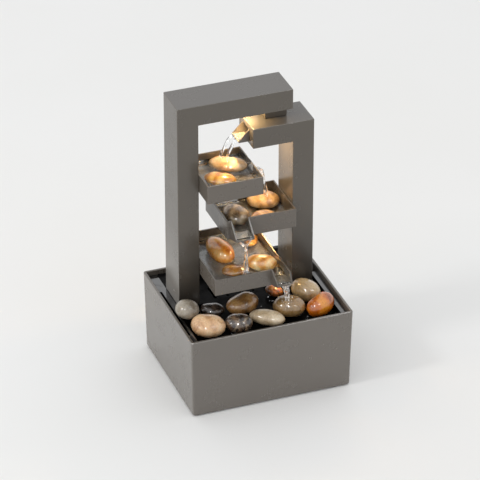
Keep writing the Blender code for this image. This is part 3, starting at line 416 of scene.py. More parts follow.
def clear(name, colour, index, roughness, painted_glow=0.0):
    """Glass, water or silicone that still lets lamps light what is behind it, and may glow in white streaks
    as painted light.
    """
    mat, tree, shader = start_material(name, Base_Color=colour, IOR=index, Transmission_Weight=1.0,
                                       Emission_Strength=painted_glow)
    where = position(tree)
    # Painted light: white streaks that glow, standing in for the white of falling water.
    drawn = add(tree, "ShaderNodeMapping", {"Vector": where, "Scale": (620.0, 620.0, 110.0)})
    glow_pattern = speckle(tree, drawn.outputs[0], 1.0, 3.0, 0.6, 0.5)
    glow_pattern = ramp(tree, glow_pattern, ((0.52, grey(0.0)), (0.66, (0.96, 0.98, 1.0, 1.0))))
    ripple = speckle(tree, where, 160.0, 2.0)
    put(tree, shader.inputs, Emission_Color=glow_pattern,
        Roughness=remap(tree, ripple, 0.3, 0.7, roughness, roughness * 1.6))
    relief(tree, shader, ripple, 0.12, 0.4)
    passing = add(tree, "ShaderNodeBsdfTransparent", {"Color": colour})
    path = add(tree, "ShaderNodeLightPath")
    mixed = add(tree, "ShaderNodeMixShader", {0: path.outputs["Is Shadow Ray"],
                                              1: shader.outputs[0], 2: passing.outputs[0]})
    tree.links.new(mixed.outputs[0], tree.nodes["Material Output"].inputs["Surface"])
    return mat


def steel_finish():
    """Zinc-plated steel with fine turned lines."""
    mat, tree, shader = start_material("screw_steel", Metallic=1.0)
    parts = use_group(tree, DUST, {"Colour": tone(176, 178, 182), "Dust": tone(120, 118, 112),
                                   "Amount": 0.4, "Grain Size": 0.3, "Roughness": 0.3})
    connect(tree, shader, parts, 0.15, 0.03)
    return mat


def lens_finish():
    """The frosted lens, lit from behind by the warm chip."""
    mat, tree, shader = start_material("lit_lens", Roughness=0.4, Emission_Strength=9.0)
    where = position(tree)
    frost = speckle(tree, where, 900.0, 3.0)
    colour = ramp(tree, frost, ((0.3, tone(255, 214, 140)), (0.7, tone(255, 236, 186))))
    put(tree, shader.inputs, Base_Color=colour, Emission_Color=colour)
    relief(tree, shader, frost, 0.2, 0.05)
    return mat


def board_finish():
    """Green solder mask with fine copper traces under it."""
    mat, tree, shader = start_material("circuit_board")
    where = position(tree)
    traces = add(tree, "ShaderNodeTexBrick", {"Vector": where, "Scale": 380.0, "Mortar Size": 0.06,
                                              "Color1": tone(22, 88, 46), "Color2": tone(18, 74, 40),
                                              "Mortar": tone(60, 128, 70)})
    put(tree, shader.inputs, Base_Color=traces.outputs["Color"],
        Roughness=remap(tree, traces.outputs["Fac"], 0.0, 1.0, 0.35, 0.5))
    relief(tree, shader, traces.outputs["Fac"], 0.3, 0.03)
    return mat


BODY_PLASTIC = plastic("taupe_plastic", tone(94, 87, 79), 0.24, clouding=0.08, bump=0.012, IOR=1.6,
                       Specular_IOR_Level=0.95)
# The frames get a darker copy of the basin's taupe: painted shade.
SHADED_FRAME_PLASTIC = plastic("frame_plastic_shaded", tone(88, 82, 74), 0.24, clouding=0.08, bump=0.012,
                        Specular_IOR_Level=0.62)
# Painted shade and light on the basin's and the frames' plastic, by the way their faces point and by height.
paint_light_and_shade_by_facing(BODY_PLASTIC, 98.0, 200.0, 0.0, 0.24, 0.0)
paint_light_and_shade_by_facing(SHADED_FRAME_PLASTIC, 96.0, 190.0, 0.72, 0.6, 0.12)
TRAY_PLASTIC = wet_plastic("tray_plastic", tone(98, 91, 83), 0.28, 0.85, Specular_IOR_Level=0.72)
SPOUT_PLASTIC = wet_plastic("spout_plastic", tone(101, 94, 86), 0.28, 0.9, Specular_IOR_Level=0.72)
DECK_PLASTIC = wet_plastic("deck_plastic", tone(30, 29, 28), 0.14, 1.0, drop_relief=0.08, IOR=1.62,
                           Specular_IOR_Level=0.95)
# Painted shade: a matt, almost unreflecting black for the deck's pan and shelf.
PAN_SHADE_PLASTIC = wet_plastic("pan_painted_shade", tone(9, 8, 8), 0.55, 0.08, Specular_IOR_Level=0.04)
PUMP_PLASTIC = plastic("pump_plastic", tone(34, 34, 36), 0.38, clouding=0.2, grain=0.8, edge=0.8)
WHITE_PLASTIC = plastic("white_plastic", tone(222, 222, 216), 0.35, clouding=0.05, grain=0.8, edge=0.03)
RUBBER = dusty("black_rubber", tone(26, 26, 27), tone(84, 82, 79), 0.72)
FERRITE = dusty("rotor_ferrite", tone(60, 60, 64), tone(96, 90, 84), 0.42, grain=1.2, bump=0.4)
CERAMIC = dusty("shaft_ceramic", tone(236, 233, 226), tone(214, 208, 198), 0.22, amount=0.3, bump=0.05)
CABLE = dusty("cable_jacket", tone(32, 32, 33), tone(74, 73, 71), 0.5, grain=0.9)
CHIP = dusty("light_chip", tone(246, 214, 120), tone(232, 186, 84), 0.35, Emission_Strength=2.0,
             Emission_Color=tone(255, 206, 110))
STEEL = steel_finish()
LENS = lens_finish()
BOARD = board_finish()
HOSE = clear("hose_silicone", tone(226, 236, 232), 1.4, 0.12)
STILL_WATER = clear("still_water", tone(248, 250, 250), 1.33, 0.012)
# Running water glows in white streaks: painted light.
WATER = clear("running_water", tone(252, 253, 253), 1.33, 0.012, painted_glow=0.4)


# ---------------------------------------------------------------- finer copies of CAD nodes

def welded(node):
    """A CAD node's mesh with its loose triangles joined and its flat faces whole."""
    bm = bmesh.new()
    bm.from_mesh(frame["nodes"][node].data)
    bmesh.ops.remove_doubles(bm, verts=bm.verts, dist=0.002 * MM)
    bmesh.ops.dissolve_limit(bm, angle_limit=math.radians(0.6), verts=bm.verts, edges=bm.edges)
    return bm


def baked(piece):
    """Put a piece's modifiers into its mesh."""
    evaluated = piece.evaluated_get(bpy.context.evaluated_depsgraph_get())
    mesh = bpy.data.meshes.new_from_object(evaluated)
    piece.modifiers.clear()
    piece.data = mesh
    return mesh


def surface_of(piece):
    """A tree that finds points on a piece's surface."""
    return BVHTree.FromObject(piece, bpy.context.evaluated_depsgraph_get())


def cut_in_two(bm, place, normal, **settings):
    """Cut a whole mesh along a plane."""
    bmesh.ops.bisect_plane(bm, geom=bm.verts[:] + bm.edges[:] + bm.faces[:], plane_co=place,
                           plane_no=normal, **settings)


def piece_from(name, bm, mat, body, slot, *nodes):
    """Make a piece that rides on a body and stands for CAD nodes."""
    mesh = bpy.data.meshes.new(name)
    bm.to_mesh(mesh)
    bm.free()
    mesh.materials.append(mat)
    piece = bpy.data.objects.new(name, mesh)
    bpy.context.scene.collection.objects.link(piece)
    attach(piece, body)
    if nodes:
        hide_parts(*nodes)
    return piece


def finer(node, mat, body, slot, rounding=0.0, wet=None):
    """A copy of a CAD node with rounded edges, and its wet faces marked."""
    bm = welded(node)
    edge = bm.faces.layers.float.new("edge")
    wet_mark = bm.faces.layers.float.new("wet")
    if rounding:
        sharp = [e for e in bm.edges if e.is_manifold and e.calc_face_angle() > math.radians(40)]
        made = bmesh.ops.bevel(bm, geom=sharp, offset=rounding * MM, segments=2, profile=0.5,
                               affect="EDGES", clamp_overlap=True)
        for face in made["faces"]:
            face[edge] = 1.0
    else:
        for face in bm.faces:
            straight = max(abs(value) for value in face.normal)
            face[edge] = 1.0 if straight < 0.97 and face.calc_area() < 400 * MM * MM else 0.0
    if wet:
        for face in bm.faces:
            face[wet_mark] = 1.0 if wet(face.calc_center_median() / MM, face.normal) else 0.0
    for face in bm.faces:
        face.smooth = True
    piece = piece_from(node + "_moulding", bm, mat, body, slot, node)
    piece.data.set_sharp_from_angle(angle=math.radians(50))
    weighted = piece.modifiers.new("even_shading", "WEIGHTED_NORMAL")
    weighted.keep_sharp = True
    return piece


def millimetres(node):
    """A node's box as x0, x1, y0, y1, z0, z1 in millimetres."""
    low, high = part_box(node)
    return tuple(value / MM for pair in zip(low, high) for value in pair)


def inside_of(node, left=0.0, right=0.0, front=0.0):
    """The room inside a tray's walls: x0, x1, y0, y1, and its underside."""
    x0, x1, y0, y1, z0, _ = millimetres(node)
    return (x0 + left + TRAY_WALL, x1 - right - TRAY_WALL, y0 + front + TRAY_WALL, y1 - TRAY_WALL, z0)


def wet_inside(room, above):
    """A test for faces on the inner side of a tray's walls and on its floor."""
    x0, x1, y0, y1, z0 = room
    return lambda centre, normal: (x0 - 0.9 < centre.x < x1 + 0.9 and y0 - 20 < centre.y < y1 + 0.9
                                   and centre.z > z0 + above
                                   and (centre.y > y0 - 0.9 or normal.z > 0.98 and centre.z < z0 + 9))


UPPER_ROOM = inside_of("upper_tray", left=TONGUE, right=UPPER_REACH)
MIDDLE_ROOM = inside_of("middle_tray", right=TONGUE, front=MIDDLE_REACH)
LOWER_ROOM = inside_of("lower_tray", left=TONGUE, front=LOWER_REACH)


def paint_shade_on_pan(deck):
    """Painted shade: a matt black on the deck's pan, and on its shelf from the left column rightwards."""
    deck.data.materials.append(PAN_SHADE_PLASTIC)
    column = millimetres("outer_frame_shell")[0] * MM
    shelf_end = -0.3 * column
    bm = bmesh.new()
    bm.from_mesh(deck.data)
    cut_in_two(bm, (column, 0, 0), (1, 0, 0))
    for face in bm.faces:
        centre = face.calc_center_median()
        shelf = column < centre.x < shelf_end and centre.z < SHELF_TOP * MM
        face.material_index = 1 if shelf or centre.z < PAN_TOP * MM else 0
    bm.to_mesh(deck.data)
    bm.free()


def build_mouldings():
    """The basin, deck, frames, trays and spout with rounded edges."""
    finer("basin", BODY_PLASTIC, "base", "taupe_plastic", 0.25)
    paint_shade_on_pan(finer("deck_plate", DECK_PLASTIC, "tower", "deck_plastic", 0.3,
                      lambda centre, normal: centre.z < DECK_WET_TOP and normal.z > -0.5))
    for node in ("outer_frame_shell", "inner_frame_shell"):
        finer(node, SHADED_FRAME_PLASTIC, "tower", "taupe_plastic")
    for node in ("outer_frame_back_cover", "inner_frame_back_cover", "beam_link"):
        finer(node, SHADED_FRAME_PLASTIC, "tower", "taupe_plastic", 0.2)
    for node, room in (("upper_tray", UPPER_ROOM), ("middle_tray", MIDDLE_ROOM),
                       ("lower_tray", LOWER_ROOM)):
        finer(node, TRAY_PLASTIC, "tower", "taupe_plastic", 0.3, wet_inside(room, 1.0))
    finer("spout_chute", SPOUT_PLASTIC, "tower", "taupe_plastic", 0.25,
          lambda centre, normal: normal.z > 0.3)


# ---------------------------------------------------------------- river pebbles

# Each stone's look: its material, then pushes on its surface as
# (direction azimuth, elevation, spread, all in degrees, and the push in millimetres)
PEBBLES = {
    "deck_pebble_1": (
        dict(light=(180, 170, 154), body=(148, 138, 122), dark=(112, 102, 88), banding=0.25, band=9.0,
             veins=0.12, wet=0.5),
        ((200, 30, 40, 1.0), (60, 20, 45, -0.8))),
    "deck_pebble_2": (
        dict(light=(244, 214, 174), body=(228, 186, 140), dark=(176, 126, 84), banding=0.3, band=8.0,
             veins=0.1, wet=0.6),
        ((120, 30, 35, 1.4), (20, 10, 40, 1.2), (270, 10, 45, -0.9), (75, 50, 30, -1.0))),
    "deck_pebble_3": (
        dict(light=(84, 68, 54), body=(50, 39, 32), dark=(28, 22, 18), vein=(120, 84, 60), banding=0.3,
             veins=0.25, wet=1.0),
        ((250, 45, 35, 0.8), (90, 40, 50, -0.8))),
    "deck_pebble_4": (
        dict(light=(108, 84, 62), body=(66, 50, 40), dark=(38, 30, 26), vein=(206, 184, 152),
             banding=0.7, band=5.0, veins=0.5, wet=1.0),
        ((180, 20, 40, 1.0), (0, 30, 40, 0.6), (90, 60, 40, -0.7))),
    "deck_pebble_5": (
        dict(light=(190, 152, 98), body=(152, 108, 58), dark=(96, 66, 34), banding=0.45, band=8.0,
             veins=0.12, wet=0.95, glow=0.25),
        ((20, 40, 40, 1.5), (200, 0, 40, 0.8), (150, 50, 40, -1.0))),
    "deck_pebble_6": (
        dict(light=(232, 216, 188), body=(208, 186, 152), dark=(170, 144, 110), banding=0.3, band=9.0,
             veins=0.1, wet=0.6),
        ((140, 20, 40, 0.6), (320, 20, 40, 0.8))),
    "deck_pebble_7": (
        dict(light=(176, 142, 94), body=(146, 114, 68), dark=(100, 76, 44), banding=0.2, band=12.0,
             veins=0.06, wet=1.0, glow=0.3),
        ((330, 10, 40, 0.8), (160, 10, 40, 0.8), (60, 60, 50, -0.6))),
    "deck_pebble_8": (
        dict(light=(216, 192, 148), body=(190, 162, 116), dark=(146, 116, 78), banding=0.25, band=10.0,
             veins=0.1, wet=1.0),
        ((130, 35, 40, 1.2), (300, 0, 45, 0.8), (30, 40, 40, -0.6))),
    "deck_pebble_9": (
        dict(light=(230, 148, 34), body=(204, 108, 14), dark=(140, 62, 6), vein=(232, 156, 70),
             banding=0.65, band=13.0, veins=0.1, wet=1.0, glow=0.15),
        ((40, 45, 40, 2.0), (215, 0, 35, 1.4), (130, 30, 35, -1.6))),
    "deck_pebble_10": (
        dict(light=(176, 112, 52), body=(142, 86, 38), dark=(92, 54, 26), banding=0.4, wet=1.0,
             glow=0.25),
        ((90, 30, 40, 0.5),)),
    "upper_pebble_1": (
        dict(light=(202, 178, 140), body=(178, 150, 112), dark=(138, 106, 74), vein=(206, 196, 190),
             banding=0.35, band=10.0, veins=0.2, wet=1.0),
        ((335, 10, 30, 2.2), (150, 20, 40, 0.8), (60, 45, 40, -0.8))),
    "upper_pebble_2": (
        dict(light=(236, 190, 104), body=(220, 160, 66), dark=(184, 118, 44), banding=0.75, band=6.0,
             turn=(0, 0, 50), veins=0.1, wet=1.0, glow=0.25),
        ((330, 0, 30, 1.6), (140, 40, 35, 1.0), (60, 40, 35, -1.2))),
    "middle_pebble_1": (
        dict(light=(238, 206, 154), body=(212, 168, 108), dark=(160, 116, 68), banding=0.45, band=6.0,
             veins=0.15, pits=0.6, wet=1.0),
        ((160, 15, 40, 1.4), (350, 20, 40, 0.8))),
    "middle_pebble_2": (
        dict(light=(178, 158, 126), body=(126, 108, 84), dark=(84, 70, 54), vein=(196, 182, 154),
             banding=0.7, band=5.5, turn=(0, 0, 35), veins=0.5, wet=1.0),
        ((290, 20, 40, 1.0), (110, 30, 40, 1.0), (200, 40, 40, -0.8))),
    "middle_pebble_3": (
        dict(light=(240, 204, 146), body=(214, 162, 98), dark=(168, 112, 58), banding=0.5, band=6.0,
             wet=1.0),
        ((180, 10, 40, 1.0),)),
    "lower_pebble_1": (
        dict(light=(248, 204, 134), body=(232, 156, 60), dark=(186, 104, 32), vein=(240, 214, 190),
             banding=0.5, band=9.0, turn=(30, 40, 0), veins=0.2, wet=1.0, glow=0.25),
        ((110, 35, 30, 2.6), (280, 10, 40, 1.6))),
    "lower_pebble_2": (
        dict(light=(255, 224, 166), body=(246, 186, 98), dark=(206, 132, 48), vein=(250, 226, 180),
             banding=0.7, band=6.5, turn=(0, 0, 50), veins=0.15, wet=1.0, glow=0.25),
        ((330, 15, 35, 1.4), (150, 30, 40, 0.8), (60, 50, 40, -0.8))),
    "lower_pebble_3": (
        dict(light=(200, 150, 64), body=(170, 114, 36), dark=(112, 70, 20), banding=0.4, band=8.0,
             wet=1.0, glow=0.4),
        ((0, 10, 50, 0.6),)),
    "lower_pebble_4": (
        dict(light=(244, 196, 110), body=(224, 164, 76), dark=(180, 116, 44), banding=0.5, wet=1.0,
             glow=0.25),
        ((60, 20, 40, 0.6),)),
}


def direction(azimuth, elevation):
    """A unit vector: azimuth anticlockwise from +X, elevation above the horizon."""
    a, e = math.radians(azimuth), math.radians(elevation)
    return Vector((math.cos(a) * math.cos(e), math.sin(a) * math.cos(e), math.sin(e)))


def build_pebble(node, look, pushes):
    """A stone as fine as a hand would feel: the CAD solid smoothed, pushed and worn."""
    bm = welded(node)
    bmesh.ops.triangulate(bm, faces=bm.faces)
    for face in bm.faces:
        face.smooth = True
    slot = next(row["material_slot"] for row in frame["record"]["subparts"] if row["node"] == node)
    piece = piece_from(node + "_stone", bm, stone(node + "_skin", **look), "tower", slot, node)
    smoother = piece.modifiers.new("smoother", "SUBSURF")
    smoother.levels = smoother.render_levels = 2
    mesh = baked(piece)
    low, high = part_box(node)
    centre = (low + high) / 2
    seed = Vector((sum(map(ord, node)) % 97, 0.0, 0.0))
    reach = [max(abs(vert.co[axis] - centre[axis]) for vert in mesh.vertices) for axis in range(3)]
    stretch = Vector([(high[axis] - centre[axis]) / reach[axis] for axis in range(3)])
    for vert in mesh.vertices:
        arm = (vert.co - centre) * stretch
        heading = arm.normalized()
        push = 0.35 * noise.noise(vert.co / (11 * MM) + seed)
        push += 0.12 * noise.noise(vert.co / (4 * MM) + seed)
        for azimuth, elevation, spread, amount in pushes:
            angle = math.degrees(heading.angle(direction(azimuth, elevation)))
            push += amount * math.exp(-(angle / spread) ** 2)
        vert.co = centre + arm + heading * push * MM
        vert.co.z = max(vert.co.z, low.z)
    mesh.update()
    return piece


build_mouldings()
STONES = {node: build_pebble(node, look, pushes) for node, (look, pushes) in PEBBLES.items()}


def stones_of(place):
    """The stones on the deck or in one tray."""
    return [piece for node, piece in STONES.items() if node.startswith(place)]


# ---------------------------------------------------------------- water

def closest_stone(trees, point):
    """The distance from a point to the nearest stone."""
    return min((tree.find_nearest(point)[3] for tree in trees), default=1.0)


def pool(name, room, level, outlet, sill, drops, stones):
    """Standing water in a tray, and the film that leaves through its outlet.

    outlet is the channel's x0, x1, y0, y1, and drops are the (x, y) where water falls in.
    """
    x0, x1, y0, y1, under = room
    clear_room = (x0 + WATER_CLEAR, x1 - WATER_CLEAR, y0 + WATER_CLEAR, y1 - WATER_CLEAR)
    regions = (clear_room, outlet)
    trees = [surface_of(stone) for stone in stones]
    step = 1.0

    def lines(low, high, cuts):
        """Grid lines at even spacing that also hit each cut."""
        count = max(2, round((high - low) / step))
        marks = [low + (high - low) * i / count for i in range(count + 1)]
        for cut in cuts:
            if low < cut < high:
                nearest = min(range(1, count), key=lambda i: abs(marks[i] - cut))
                marks[nearest] = cut
        return marks

    def span(first):
        """Grid lines over all regions in X (first 0) or Y (first 2)."""
        ends = {value for region in regions for value in region[first:first + 2]}
        return lines(min(ends), max(ends), ends)

    xs, ys = span(0), span(2)

    def in_room(x, y):
        return clear_room[0] <= x <= clear_room[1] and clear_room[2] <= y <= clear_room[3]

    def floor(x, y):
        return under + WATER_CLEAR + (TRAY_FLOOR if in_room(x, y) else sill)

    def surface(x, y):
        height = under + level
        for dx, dy in drops:
            away = math.hypot(x - dx, y - dy)
            height += 0.55 * math.cos(away * 1.25) * math.exp(-away / 9.0)
        height += 0.16 * noise.noise(Vector((x / 9, y / 9, under)))
        height += 0.10 * noise.noise(Vector((x / 4, y / 4, under + 5)))
        point = Vector((x, y, height)) * MM
        height += 0.7 * math.exp(-closest_stone(trees, point) / (0.9 * MM))
        wall = min(x - x0, x1 - x, y - y0, y1 - y)
        height += 0.35 * math.exp(-max(wall, 0.0) / 0.8) if in_room(x, y) else 0.0
        return max(height, floor(x, y) + 0.25)

    bm = bmesh.new()
    tops, bottoms = {}, {}

    def corner(store, i, j, height):
        if (i, j) not in store:
            store[i, j] = bm.verts.new(Vector((xs[i], ys[j], height(xs[i], ys[j]))) * MM)
        return store[i, j]

    cells = set()
    for i in range(len(xs) - 1):
        for j in range(len(ys) - 1):
            middle = ((xs[i] + xs[i + 1]) / 2, (ys[j] + ys[j + 1]) / 2)
            if any(r[0] < middle[0] < r[1] and r[2] < middle[1] < r[3] for r in regions):
                cells.add((i, j))
    for i, j in sorted(cells):
        ring = ((i, j), (i + 1, j), (i + 1, j + 1), (i, j + 1))
        bm.faces.new([corner(tops, *p, surface) for p in ring])
        bm.faces.new([corner(bottoms, *p, floor) for p in reversed(ring)])
        neighbours = ((i, j - 1), (i + 1, j), (i, j + 1), (i - 1, j))
        for a, b, beside in zip(ring, ring[1:] + ring[:1], neighbours):
            if beside not in cells:
                bm.faces.new((corner(bottoms, *a, floor), corner(bottoms, *b, floor),
                              corner(tops, *b, surface), corner(tops, *a, surface)))
    bmesh.ops.recalc_face_normals(bm, faces=bm.faces)
    for face in bm.faces:
        face.smooth = abs(face.normal.z) > 0.3
    return piece_from(name, bm, STILL_WATER, "tower", "water")


def tube(bm, points, radii, sides=10):
    """A closed round strand along points."""
    rows = []
    for i, point in enumerate(points):
        ahead = points[min(i + 1, len(points) - 1)] - points[max(i - 1, 0)]
        side = ahead.cross(Vector((0.0, 1.0, 0.0))).normalized()
        front = side.cross(ahead).normalized()
        rows.append([bm.verts.new((point + side * radii[i] * math.cos(2 * math.pi * k / sides)
                                   + front * radii[i] * math.sin(2 * math.pi * k / sides)) * MM)
                     for k in range(sides)])
    for low, high in zip(rows, rows[1:]):
        for k in range(sides):
            bm.faces.new((low[k], low[(k + 1) % sides], high[(k + 1) % sides], high[k]))
    bm.faces.new(rows[0])
    bm.faces.new(rows[-1])


def drop(bm, place, radius, stretch=1.0):
    """A small drop."""
    matrix = Matrix.Translation(Vector(place) * MM) @ Matrix.Diagonal((1.0, 1.0, stretch, 1.0))
    bmesh.ops.create_icosphere(bm, subdivisions=2, radius=radius * MM, matrix=matrix)


def fall(start, end, t):
    """A point on a falling path: it leaves level and speeds up."""
    flat = start.lerp(end, t)
    height = start.z + (end.z - start.z) * (0.25 * t + 0.75 * t * t)
    return Vector((flat.x, flat.y, height))


def poured(name, bm):
    """Fuse strands and drops into one smooth body of water."""
    bmesh.ops.recalc_face_normals(bm, faces=bm.faces)
    piece = piece_from(name, bm, WATER, "tower", "water")
    remesh = piece.modifiers.new("fuse", "REMESH")
    remesh.mode = "VOXEL"
    remesh.voxel_size = 0.35 * MM
    soften = piece.modifiers.new("soften", "SMOOTH")
    soften.factor = 0.5
    soften.iterations = 4
    baked(piece).shade_smooth()


def strands(bm, start, end, width, count, thickness, turns=0.6, phase=0.0, gather=0.8):
    """Strands that leave a lip side by side, wind round each other and draw together."""
    across = (end - start).cross(Vector((0.0, 0.0, 1.0)))
    across = across.normalized() if across.length > 3.0 else Vector((1.0, 0.0, 0.0))
    for index in range(count):
        offset = (index - (count - 1) / 2) / max(count - 1, 1) * width
        points = []
        radii = []
        for step in range(27):
            t = step / 26
            narrow = (1 - t) ** gather * 0.85 + 0.15
            angle = phase + 2 * math.pi * turns * t
            points.append(fall(start, end, t) + across * offset * narrow * math.cos(angle * 0.5)
                          + across.cross(Vector((0.0, 0.0, 1.0))) * 0.5 * math.sin(angle))
            bead = 1.0 + 0.20 * math.sin(9 * t + 2.1 * index + phase) + 0.1 * math.sin(23 * t + index)
            radii.append(thickness * (1.1 - 0.3 * t) * bead)
        tube(bm, points, radii)


def rivulet(bm, stone, start, end, thickness):
    """Water that runs over a stone from start to end, both (x, y)."""
    tree = surface_of(stone)
    points = []
    for step in range(15):
        t = step / 14
        x = start[0] + (end[0] - start[0]) * t + 0.7 * math.sin(7 * t)
        y = start[1] + (end[1] - start[1]) * t
        found = tree.ray_cast(Vector((x, y, 400.0)) * MM, Vector((0.0, 0.0, -1.0)))[0]
        if found is not None:
            points.append(found / MM + Vector((0.0, 0.0, 0.15 * thickness)))
    tube(bm, points, [thickness * (1.0 - 0.6 * i / len(points)) for i in range(len(points))])


def spray(bm, place, chance, count, spread, rise, small=0.3, large=0.7):
    """Drops thrown up around a landing."""
    for _ in range(count):
        away = chance.uniform(0.25, 1.0) * spread
        angle = chance.uniform(0.0, 2 * math.pi)
        drop(bm, place + Vector((away * math.cos(angle), away * math.sin(angle), chance.uniform(0.6, rise))),
             chance.uniform(small, large))


def on_top(stone, x, y):
    """The point of a stone's upper side at x, y."""
    tree = surface_of(stone)
    found = tree.ray_cast(Vector((x, y, 400.0)) * MM, Vector((0.0, 0.0, -1.0)))[0]
    return found / MM


def build_spout_water(chance):
    """The stream from the chute onto the cream stone, and the film that feeds it."""
    spout = millimetres("spout_chute")
    stone = STONES["upper_pebble_1"]
    lip = Vector((spout[0] + 0.8, (spout[2] + spout[3]) / 2, spout[4] + 2.4))
    landing, second = (on_top(stone, *spot) for spot in SPOUT_LANDINGS)
    bm = bmesh.new()
    for side, spot in ((1, second), (-1, landing)):
        start = lip + Vector((0.0, 5.6 * side, 0.0))
        points = []
        for step in range(25):
            t = step / 24
            points.append(fall(start, spot, t) + Vector((-3.0 * t * (1 - t), 0.5 * math.sin(8 * t), 0.0)))
        tube(bm, points, [2.0 - 0.5 * i / 24 + 0.28 * math.sin(0.6 * i + side) for i in range(25)])
        drop(bm, start + Vector((0.4, -0.5 * side, 0.2)), 2.4, 0.8)
        drop(bm, spot, 2.4, 0.45)
    bridge = [lip + Vector((-0.6, 5.6 - 1.4 * k, -0.4)) for k in range(9)]
    tube(bm, bridge, [1.5] * 9)
    rivulet(bm, stone, SPOUT_LANDINGS[0], SPOUT_RUN, 1.5)
    spray(bm, landing, chance, 6, 8.0, 5.0)
    poured("spout_stream", bm)
    bm = bmesh.new()
    film = [Vector((spout[1] - 6.0 - (spout[1] - spout[0] - 6.5) * k / 6, lip.y, lip.z + 0.9 - 0.2 * k))
            for k in range(7)]
    tube(bm, film, [4.5 + 0.3 * math.sin(2 * k) for k in range(7)], sides=14)
    for vert in bm.verts:
        vert.co.z = lip.z * MM + (vert.co.z - lip.z * MM) * 0.16
        vert.co.y = lip.y * MM + (vert.co.y - lip.y * MM) * 1.7
    poured("spout_film", bm)


def build_upper_stream(chance):
    """From the upper tray's outlet onto the middle tray's first stone."""
    tray = millimetres("upper_tray")
    stone = STONES["middle_pebble_1"]
    start = Vector((tray[1] + 0.4, 8.0, tray[4] + UPPER_SILL + 0.9))
    end = on_top(stone, *UPPER_LANDING)
    bm = bmesh.new()
    strands(bm, start, end, 7.0, 3, 1.35, turns=0.5, phase=0.6)
    drop(bm, start + Vector((0.4, 0.0, 0.2)), 2.4, 0.7)
    drop(bm, end, 3.4, 0.5)
    rivulet(bm, stone, UPPER_LANDING, UPPER_RUN, 1.3)
    spray(bm, end, chance, 6, 7.0, 4.0)
    poured("upper_stream", bm)


def build_middle_stream(chance):
    """From both corners of the middle tray's outlet, joined to one stream above the lower tray."""
    tray = millimetres("middle_tray")
    centre = tray[0] + MIDDLE_CHUTE_X
    join = Vector((centre - 0.3, tray[2] - 1.6, tray[4] - 1.5))
    end = Vector((centre + 0.3, tray[2] - 3.2, LOWER_ROOM[4] + LOWER_LEVEL + 0.3))
    bm = bmesh.new()
    for side in (-1, 1):
        points = []
        radii = []
        start = Vector((centre + side * 8.4, tray[2] + 0.7, tray[4] + MIDDLE_SILL + 0.4))
        for step in range(31):
            t = step / 30
            if t < 0.3:
                u = t / 0.3
                point = start.lerp(join, u)
                point.z -= 2.0 * u * (1 - u)
            else:
                point = join.lerp(end, (t - 0.3) / 0.7)
            point.x += side * (0.9 + 0.7 * math.cos(8 * t)) * min(1.0, t / 0.3)
            point.y += 0.5 * math.sin(9 * t + side)
            points.append(point)
            radii.append(1.45 + 0.35 * math.sin(13 * t + 2 * side))
        tube(bm, points, radii)
    strands(bm, join, end, 1.6, 2, 1.1, turns=1.0, phase=0.8)
    drop(bm, join, 2.3, 1.3)
    drop(bm, end, 4.2, 0.4)
    spray(bm, end, chance, 16, 11.0, 4.5)
    poured("middle_stream", bm)
    return end


def build_lower_stream(chance):
    """From the lower tray's outlet onto the stone in the deck below it."""
    tray = millimetres("lower_tray")
    stone = STONES["deck_pebble_7"]
    start = Vector((tray[1] - 9.2, tray[2] + 0.7, tray[4] + LOWER_SILL + 0.3))
    end = on_top(stone, *LOWER_LANDING)
    bm = bmesh.new()
    strands(bm, start, end, 13.0, 4, 1.35, turns=0.4, phase=0.3, gather=1.3)
    strands(bm, start + Vector((3.0, 0.0, 0.0)), end + Vector((2.5, 1.5, 0.0)), 6.0, 2, 1.0, phase=1.3)
    drop(bm, end, 4.2, 0.5)
    rivulet(bm, stone, LOWER_LANDING, LOWER_RUN, 1.2)
    spray(bm, end, chance, 14, 10.0, 9.0, 0.35, 0.9)
    poured("lower_stream", bm)


def build_stray_drops(chance):
    """Drops left on the deck between the stones."""
    trees = [surface_of(stone) for stone in stones_of("deck")]
    bm = bmesh.new()
    x0, x1, y0, y1 = -80.0, 80.0, -68.0, 9.0
    floor = millimetres("deck_pebble_5")[4] + 0.1
    placed = 0
    while placed < STRAY_DROPS:
        spot = Vector((chance.uniform(x0, x1), chance.uniform(y0, y1), floor))
        size = chance.uniform(0.4, 1.1)
        if closest_stone(trees, spot * MM) > (size + 0.6) * MM and spot.x > -46.0:
            drop(bm, spot, size, 0.6)
            placed += 1
    cut_in_two(bm, (0.0, 0.0, (floor + 0.02) * MM), (0.0, 0.0, 1.0), clear_inner=True)
    bmesh.ops.holes_fill(bm, edges=[e for e in bm.edges if e.is_boundary])
    bmesh.ops.recalc_face_normals(bm, faces=bm.faces)
    for face in bm.faces:
        face.smooth = True
    piece_from("stray_drops", bm, WATER, "tower", "water")


